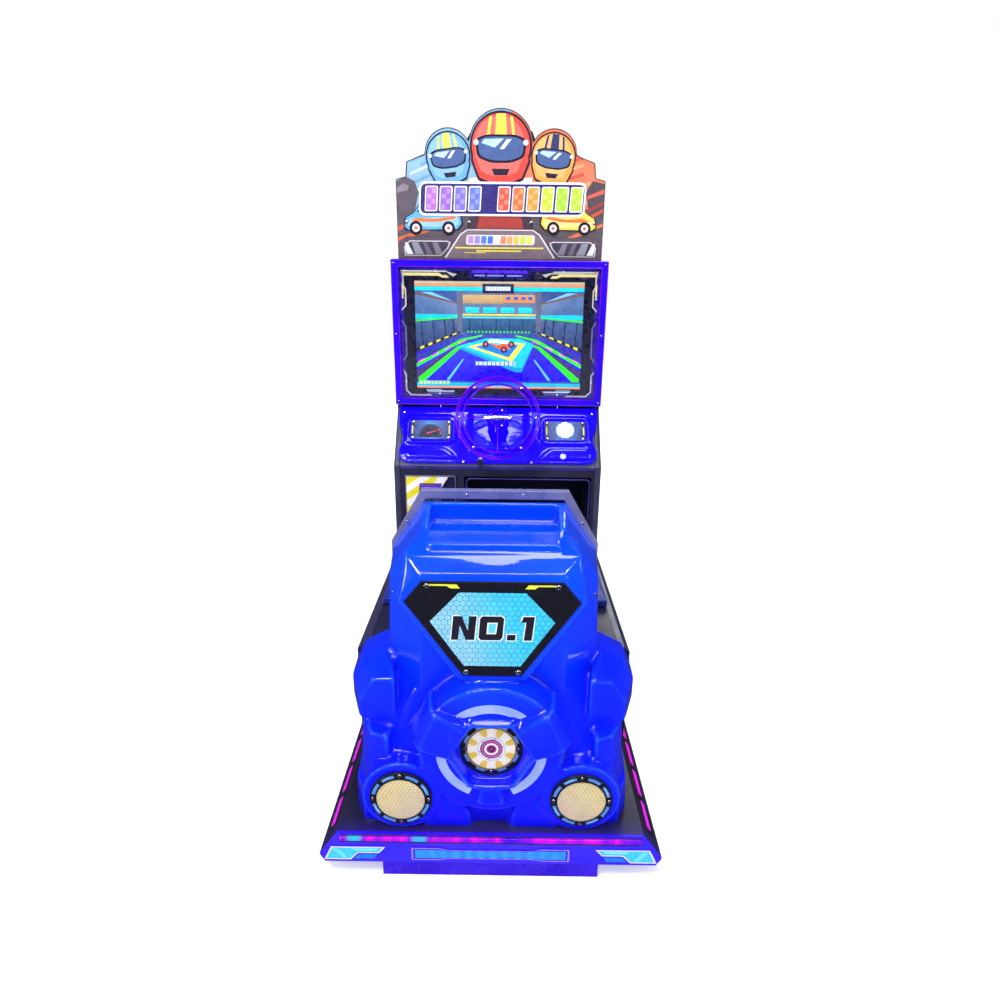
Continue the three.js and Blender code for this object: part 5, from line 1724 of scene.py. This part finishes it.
def helmet(paint, x, y, r, shell_tone, band_tone, lean):
    """A full-face racing helmet seen from the front, drawn in parts of its radius."""
    c, s = r * math.cos(lean), r * math.sin(lean)
    turn = lambda points: [(x + px * c - py * s, y + px * s + py * c) for px, py in points]
    dome = [polar(0.98, a) for a in range(-20, 201, 8)]
    outline = dome + [(-0.94, -0.45), (-0.72, -0.98), (-0.3, -1.14), (0.3, -1.14), (0.72, -0.98), (0.94, -0.45)]
    visor = soft_outline([(-0.88, 0.2), (-0.8, -0.36), (-0.34, -0.52), (0.34, -0.52), (0.8, -0.36), (0.88, 0.2),
                          (0.5, 0.34), (-0.5, 0.34)], 0.16)
    side_band = [(0.3, 0.9), (0.4, 0.86), (0.48, 0.3), (0.38, 0.3)]
    for points, tone in (
            ([(px * 1.07, py * 1.07) for px, py in outline], (38, 30, 52)),
            (outline, shell_tone),
            ([(px * 0.86 - 0.05, py * 0.86 + 0.06) for px, py in outline], blend_rgb(shell_tone, WHITE, 0.2)),
            ([(-0.16, 0.96), (0.16, 0.96), (0.2, 0.3), (-0.2, 0.3)], band_tone),
            (mirrored(side_band, -1), band_tone),
            (side_band, band_tone),
            (visor, (30, 26, 46)),
            ([(px * 0.9, -0.07 + (py + 0.07) * 0.84) for px, py in visor], (74, 96, 150)),
            ([(-0.66, 0.08), (-0.56, 0.2), (0.1, 0.22), (-0.2, -0.06)], (176, 206, 240)),
            ([(0.2, 0.2), (0.36, 0.2), (0.1, -0.1), (-0.04, -0.1)], (226, 238, 250)),
            ([(-0.3, -0.7), (0.3, -0.7), (0.22, -0.9), (-0.22, -0.9)], (44, 38, 58)),
            (circle(-0.84, 0.1, 0.09, 14), (214, 214, 222)),
            (circle(0.84, 0.1, 0.09, 14), (214, 214, 222))):
        paint(turn(points), tone)


def race_car(paint, x, y, size, flip, paint_tone):
    """A plain toy race car seen from its side; flip is -1 for one that faces the other way."""
    set_down = lambda points: [(x + flip * size * px, y + size * py) for px, py in points]
    body = [(-62, 6), (-58, 26), (-40, 36), (-24, 56), (18, 58), (44, 40), (66, 34), (70, 14), (60, 2), (-54, 0)]
    window = (40, 44, 78)
    for points, tone in (
            ([(px * 1.05, 28 + (py - 28) * 1.08) for px, py in body], (34, 28, 50)),
            (body, paint_tone),
            ([(-56, 8), (-50, 24), (60, 30), (64, 16), (56, 6)], blend_rgb(paint_tone, WHITE, 0.35)),
            ([(-34, 38), (-20, 53), (0, 54), (0, 38)], window),
            ([(3, 38), (3, 54), (16, 54), (36, 39)], window),
            ([(-28, 40), (-18, 51), (-10, 51), (-20, 40)], (170, 200, 236)),
            ([(-52, 20), (-30, 26), (10, 24), (50, 30), (62, 26), (20, 18), (-20, 17)], (238, 120, 64))):
        paint(set_down(points), tone)
    for px in (-36, 40):
        hub = x + flip * size * px, y + size * 4
        for radius, sides, tone in ((15, 20, (28, 24, 38)), (9, 16, (222, 214, 214)), (3.4, 12, (206, 84, 70))):
            paint(circle(*hub, radius * size, sides), tone)


def topper():
    """The print on the board above the screen: helmets, cars and rows of plain blocks."""
    art = Art()
    paint = lambda points, tone: art.add(on_topper(points), tone)
    across = [-286.6 + 573.2 * i / 150 for i in range(151)]
    whole = [(-286.6, 1223.4), (286.6, 1223.4)] + [(x, topper_top(x) - 1.2) for x in reversed(across)]
    art.add(whole, (96, 84, 96))
    paint([(-290, 1330), (-290, 1700), (40, 1700), (0, 1400), (-120, 1340)], (136, 178, 214))
    paint([(30, 1700), (290, 1700), (290, 1330), (120, 1350), (20, 1420)], (228, 122, 92))
    for i in range(9):
        y = 1372 + 22 * i
        x = -280 + DRAW.uniform(0, 60)
        long = DRAW.uniform(60, 150)
        paint([(x, y), (x + long, y + long * 0.42), (x + long, y + long * 0.42 + 5), (x, y + 7)], (196, 212, 226)
              if i % 2 else (110, 156, 206))
    for i in range(8):
        y = 1352 + 22 * i
        x = 276 - DRAW.uniform(0, 50)
        long = DRAW.uniform(70, 150)
        paint([(x, y), (x, y + 9), (x - long, y + 9 - long * 0.3), (x - long, y - long * 0.3 + 3)],
              (240, 160, 116) if i % 2 else (200, 84, 70))
    paint([(-290, 1300), (-290, 1420), (-262, 1436), (-236, 1424), (-226, 1396), (-240, 1340), (-200, 1300)],
          (92, 84, 98))
    paint([(-290, 1392), (-284, 1408), (-268, 1418), (-252, 1412), (-256, 1400), (-270, 1398)], (134, 124, 136))
    paint([(290, 1290), (290, 1420), (252, 1428), (236, 1400), (246, 1340), (170, 1292)], (84, 74, 84))
    paint([(290, 1398), (240, 1382), (240, 1390), (290, 1410)], (214, 96, 82))
    paint([(-290, 1223), (-290, 1330), (-190, 1352), (190, 1352), (290, 1330), (290, 1223)], (92, 84, 92))
    for a, b, c, tone in ((-290, -180, 1268, (226, 106, 72)), (-286, -210, 1296, (206, 92, 66)),
                          (160, 290, 1262, (222, 116, 84)),
                          (190, 290, 1300, (204, 84, 64)), (176, 290, 1318, (150, 66, 66))):
        rise = 34 if a < 0 else 52
        paint([(a, c), (b, c + rise), (b, c + rise + 9), (a, c + 11)], tone)
    paint([(-60, 1420), (60, 1420), (96, 1300), (-96, 1300)], (74, 58, 70))
    paint([(-40, 1418), (40, 1418), (66, 1302), (-66, 1302)], (170, 66, 62))
    for s in (-1, 1):
        paint([(s * 132 - 48, 1425), (s * 132 + 48, 1425), (s * 132 + 62, 1360), (s * 132 - 62, 1360)],
              (62, 52, 70) if s < 0 else (214, 172, 60))
        paint([(s * 70 - 16, 1432), (s * 70 + 16, 1436), (s * 76 + 14, 1408), (s * 76 - 18, 1406)],
              (232, 216, 214))
    helmet(paint, -143, 1486, 58, (104, 166, 222), (236, 222, 96), 0.12)
    helmet(paint, 143, 1486, 58, (240, 160, 78), (52, 60, 110), -0.1)
    helmet(paint, 0, 1512, 80, (220, 74, 66), (244, 214, 84), 0.0)
    race_car(paint, -192, 1300, 1.2, 1, (96, 172, 224))
    race_car(paint, 194, 1302, 1.15, -1, (236, 206, 84))
    band_low, band_high = 1348, 1414
    banner = soft_outline([(-222, band_low - 6), (228, band_low - 6), (232, band_high + 4),
                           (-218, band_high + 4)], 16)
    paint([(x * 1.02, band_low + 31 + (y - band_low - 31) * 1.14) for x, y in banner], (246, 246, 250))
    paint(banner, (54, 48, 120))
    tones = [(176, 112, 208), (150, 104, 214), (122, 112, 222), (104, 122, 226), None, (240, 92, 74),
             (242, 116, 70), (240, 150, 70),
             (190, 214, 60), (160, 216, 56), (178, 220, 66)]
    step = 440 / len(tones)
    for i, tone in enumerate(tones):
        if tone is None:
            continue
        x = -212 + step * i
        slot = [(x + 2, band_low), (x + step - 3, band_low), (x + step + 1, band_high - 2),
                (x + 6, band_high - 2)]
        paint(soft_outline(slot, 5), (240, 238, 248))
        inner = [(x + 5, band_low + 3), (x + step - 6, band_low + 3), (x + step - 2.4, band_high - 5),
                 (x + 8.4, band_high - 5)]
        paint(soft_outline(inner, 4), tone)
        for r in range(4):
            for c in range(2):
                if (r + c) % 2 == 0:
                    sx, sy = x + 8 + 12.5 * c + 0.9 * r, band_low + 6 + 13.2 * r
                    paint([(sx, sy), (sx + 11, sy), (sx + 12, sy + 11.5), (sx + 1, sy + 11.5)],
                          blend_rgb(tone, WHITE, 0.25))
    header = [(-156, 1226), (-112, 1290), (-92, 1302), (92, 1302), (112, 1290), (156, 1226)]
    paint([(-286, 1224), (-286, 1268), (-262, 1282), (-150, 1282), (-112, 1292), (-92, 1304), (92, 1304),
           (112, 1292), (150, 1282), (262, 1282), (286, 1268), (286, 1224)], (96, 82, 96))
    paint(header, (128, 112, 122))
    for s in (-1, 1):
        m = lambda points: [(s * x, y) for x, y in points]
        paint(m([(268, 1232), (166, 1232), (146, 1252), (138, 1268), (148, 1272), (254, 1272), (270, 1256)]),
              (206, 204, 210))
        paint(m([(265, 1234), (168, 1234), (149, 1253), (143, 1267), (150, 1269), (253, 1269), (267, 1255)]),
              (74, 66, 84))
        for x0, x1, tone in ((262, 244, (236, 236, 240)), (238, 214, (150, 150, 164)),
                             (206, 190, (112, 106, 122)), (180, 160, (132, 126, 140))):
            art.add(clip([(s * x, y) for x, y in ((x0, 1236), (x1, 1236), (x1 + 16, 1267),
                                                  (x0 + 10, 1267))][::1 if s < 0 else -1],
                         [(-266, 1236), (266, 1236), (266, 1267), (-266, 1267)]), tone)
        paint(m([(156, 1228), (112, 1290), (92, 1302), (0, 1302), (0, 1299.6), (91, 1299.6), (109, 1288),
                 (150, 1228)]), (226, 222, 222))
    for x0, x1, y0, y1 in ((-126, 122, 1252, 1256), (-66, 60, 1244, 1248), (-100, -40, 1240, 1242)):
        art.add(rect(x0, y0, x1, y1), (240, 226, 92))
    art.add(soft_outline([(-96, 1262), (96, 1262), (98, 1288), (-94, 1288)], 7), (226, 220, 232))
    small = [(190, 140, 220), (150, 140, 226), (90, 130, 226), (60, 120, 226), None, (240, 140, 90),
             (242, 170, 90), (236, 204, 80), (196, 220, 74), (220, 228, 90)]
    for i, tone in enumerate(small):
        if tone:
            x = -90 + 18.2 * i
            art.add(soft_outline([(x, 1265), (x + 14.6, 1265), (x + 16, 1285), (x + 1.4, 1285)], 3), tone)
    art.done("topper_picture", at_rear(343.8), "cabinet", "topper_print")
    rim = [(-286.8, 1223.6)] + [(x, topper_top(x) - 0.8) for x in across] + [(286.8, 1223.6)]
    bars("topper_edge", "gasket", "black_plastic", [upright(rim, 342.9)], 0.9, sides=6, closed=False)
    uprights = (-261, -87, 87, 261)
    screws("topper_screws", [(x, 1320, 0) for x in uprights], 5.0, at_rear(342.3))
    nuts = bmesh.new()
    for x in uprights:
        add_lathe(nuts, [(0, 0), (6, 0), (6, 4), (5, 5), (0, 5)], 6, (x, 1320))
    far_side = Matrix.Translation((0, 354.5 * MM, 0)) @ FRONT @ Matrix.Scale(-1, 4, (1, 0, 0))
    place(nuts, "topper_nuts", "steel", "cabinet", "bare_steel", far_side)


topper()


# ---------------------------------------------------------------- stage
def area_light(name, spot, aim, width, height, power):
    data = bpy.data.lights.new(name, "AREA")
    data.shape = "RECTANGLE"
    data.size, data.size_y, data.energy = width, height, power
    lamp = bpy.data.objects.new(name, data)
    bpy.context.scene.collection.objects.link(lamp)
    lamp.location = spot
    lamp.rotation_euler = (Vector(aim) - Vector(spot)).to_track_quat("-Z", "Y").to_euler()


def background(tree, colour, strength):
    node = tree.nodes.new("ShaderNodeBackground")
    node.inputs["Color"].default_value = colour
    node.inputs["Strength"].default_value = strength
    return node.outputs[0]


def by_ray(tree, kind, others, these):
    """One light for rays of a kind, and another for the rest."""
    ray = tree.nodes.new("ShaderNodeLightPath")
    node = tree.nodes.new("ShaderNodeMixShader")
    for source, socket in ((ray.outputs[kind], "Fac"), (others, 1), (these, 2)):
        tree.links.new(source, node.inputs[socket])
    return node.outputs[0]


def studio():
    """A pale floor that brightens with distance, soft world light and area lights."""
    floor_work = bmesh.new()
    bmesh.ops.create_grid(floor_work, x_segments=2, y_segments=2, size=9)
    floor = loose(floor_work, "floor")
    pale = Shader("floor_pale", Roughness=0.9, Specular=0.0)
    pale.surface.inputs["Emission Strength"].default_value = 0.50
    shade_of = pale.ramp(pale.noise(2.0, 2), (0.3, (0.93, 0.93, 0.94)), (0.7, (0.96, 0.96, 0.965)))
    away = pale.node("ShaderNodeVectorMath", operation="LENGTH")
    pale.link(pale.where, away.inputs[0])
    far = pale.spread(away.outputs["Value"], 0.50, 1.10, 1.2, 3.2)
    floor.data.materials.append(pale.set(Colour=shade_of, Glow=shade_of, Glow_Power=far))
    floor.visible_glossy = False
    world = bpy.data.worlds.new("studio")
    world.use_nodes = True
    bpy.context.scene.world = world
    tree = world.node_tree
    sky = background(tree, (1, 1, 1, 1), 0.30)
    mirror = background(tree, (0.80, 0.86, 1, 1), 0.05)
    shown = background(tree, (1, 1, 1, 1), 1.0)
    hidden = by_ray(tree, "Is Glossy Ray", sky, mirror)
    tree.links.new(by_ray(tree, "Is Camera Ray", hidden, shown), tree.nodes["World Output"].inputs["Surface"])
    for name, spot, aim, width, height, power in (
            ("key", (-1.3, -1.9, 3.2), (0, -0.3, 0.4), 0.9, 0.5, 46),
            ("left", (-2.3, -1.1, 1.3), (0, -0.4, 0.5), 0.14, 2.0, 13),
            ("right", (2.5, -1.0, 1.9), (0, -0.4, 0.5), 0.12, 1.8, 11),
            ("top", (0.2, -0.5, 3.4), (0, -0.3, 0), 1.4, 0.7, 34),
            ("strip_left", (-0.75, -2.2, 2.3), (0, -0.4, 0.4), 0.03, 1.3, 6),
            ("strip_right", (0.95, -2.1, 2.2), (0, -0.4, 0.4), 0.03, 1.3, 6),
            ("strip_over", (0.15, -1.5, 2.9), (0, -0.4, 0.4), 1.5, 0.03, 7),
            ("back", (0.6, 3.2, 2.2), (0, 0, 0.7), 2.0, 1.6, 45)):
        area_light(name, spot, aim, width, height, power)


studio()
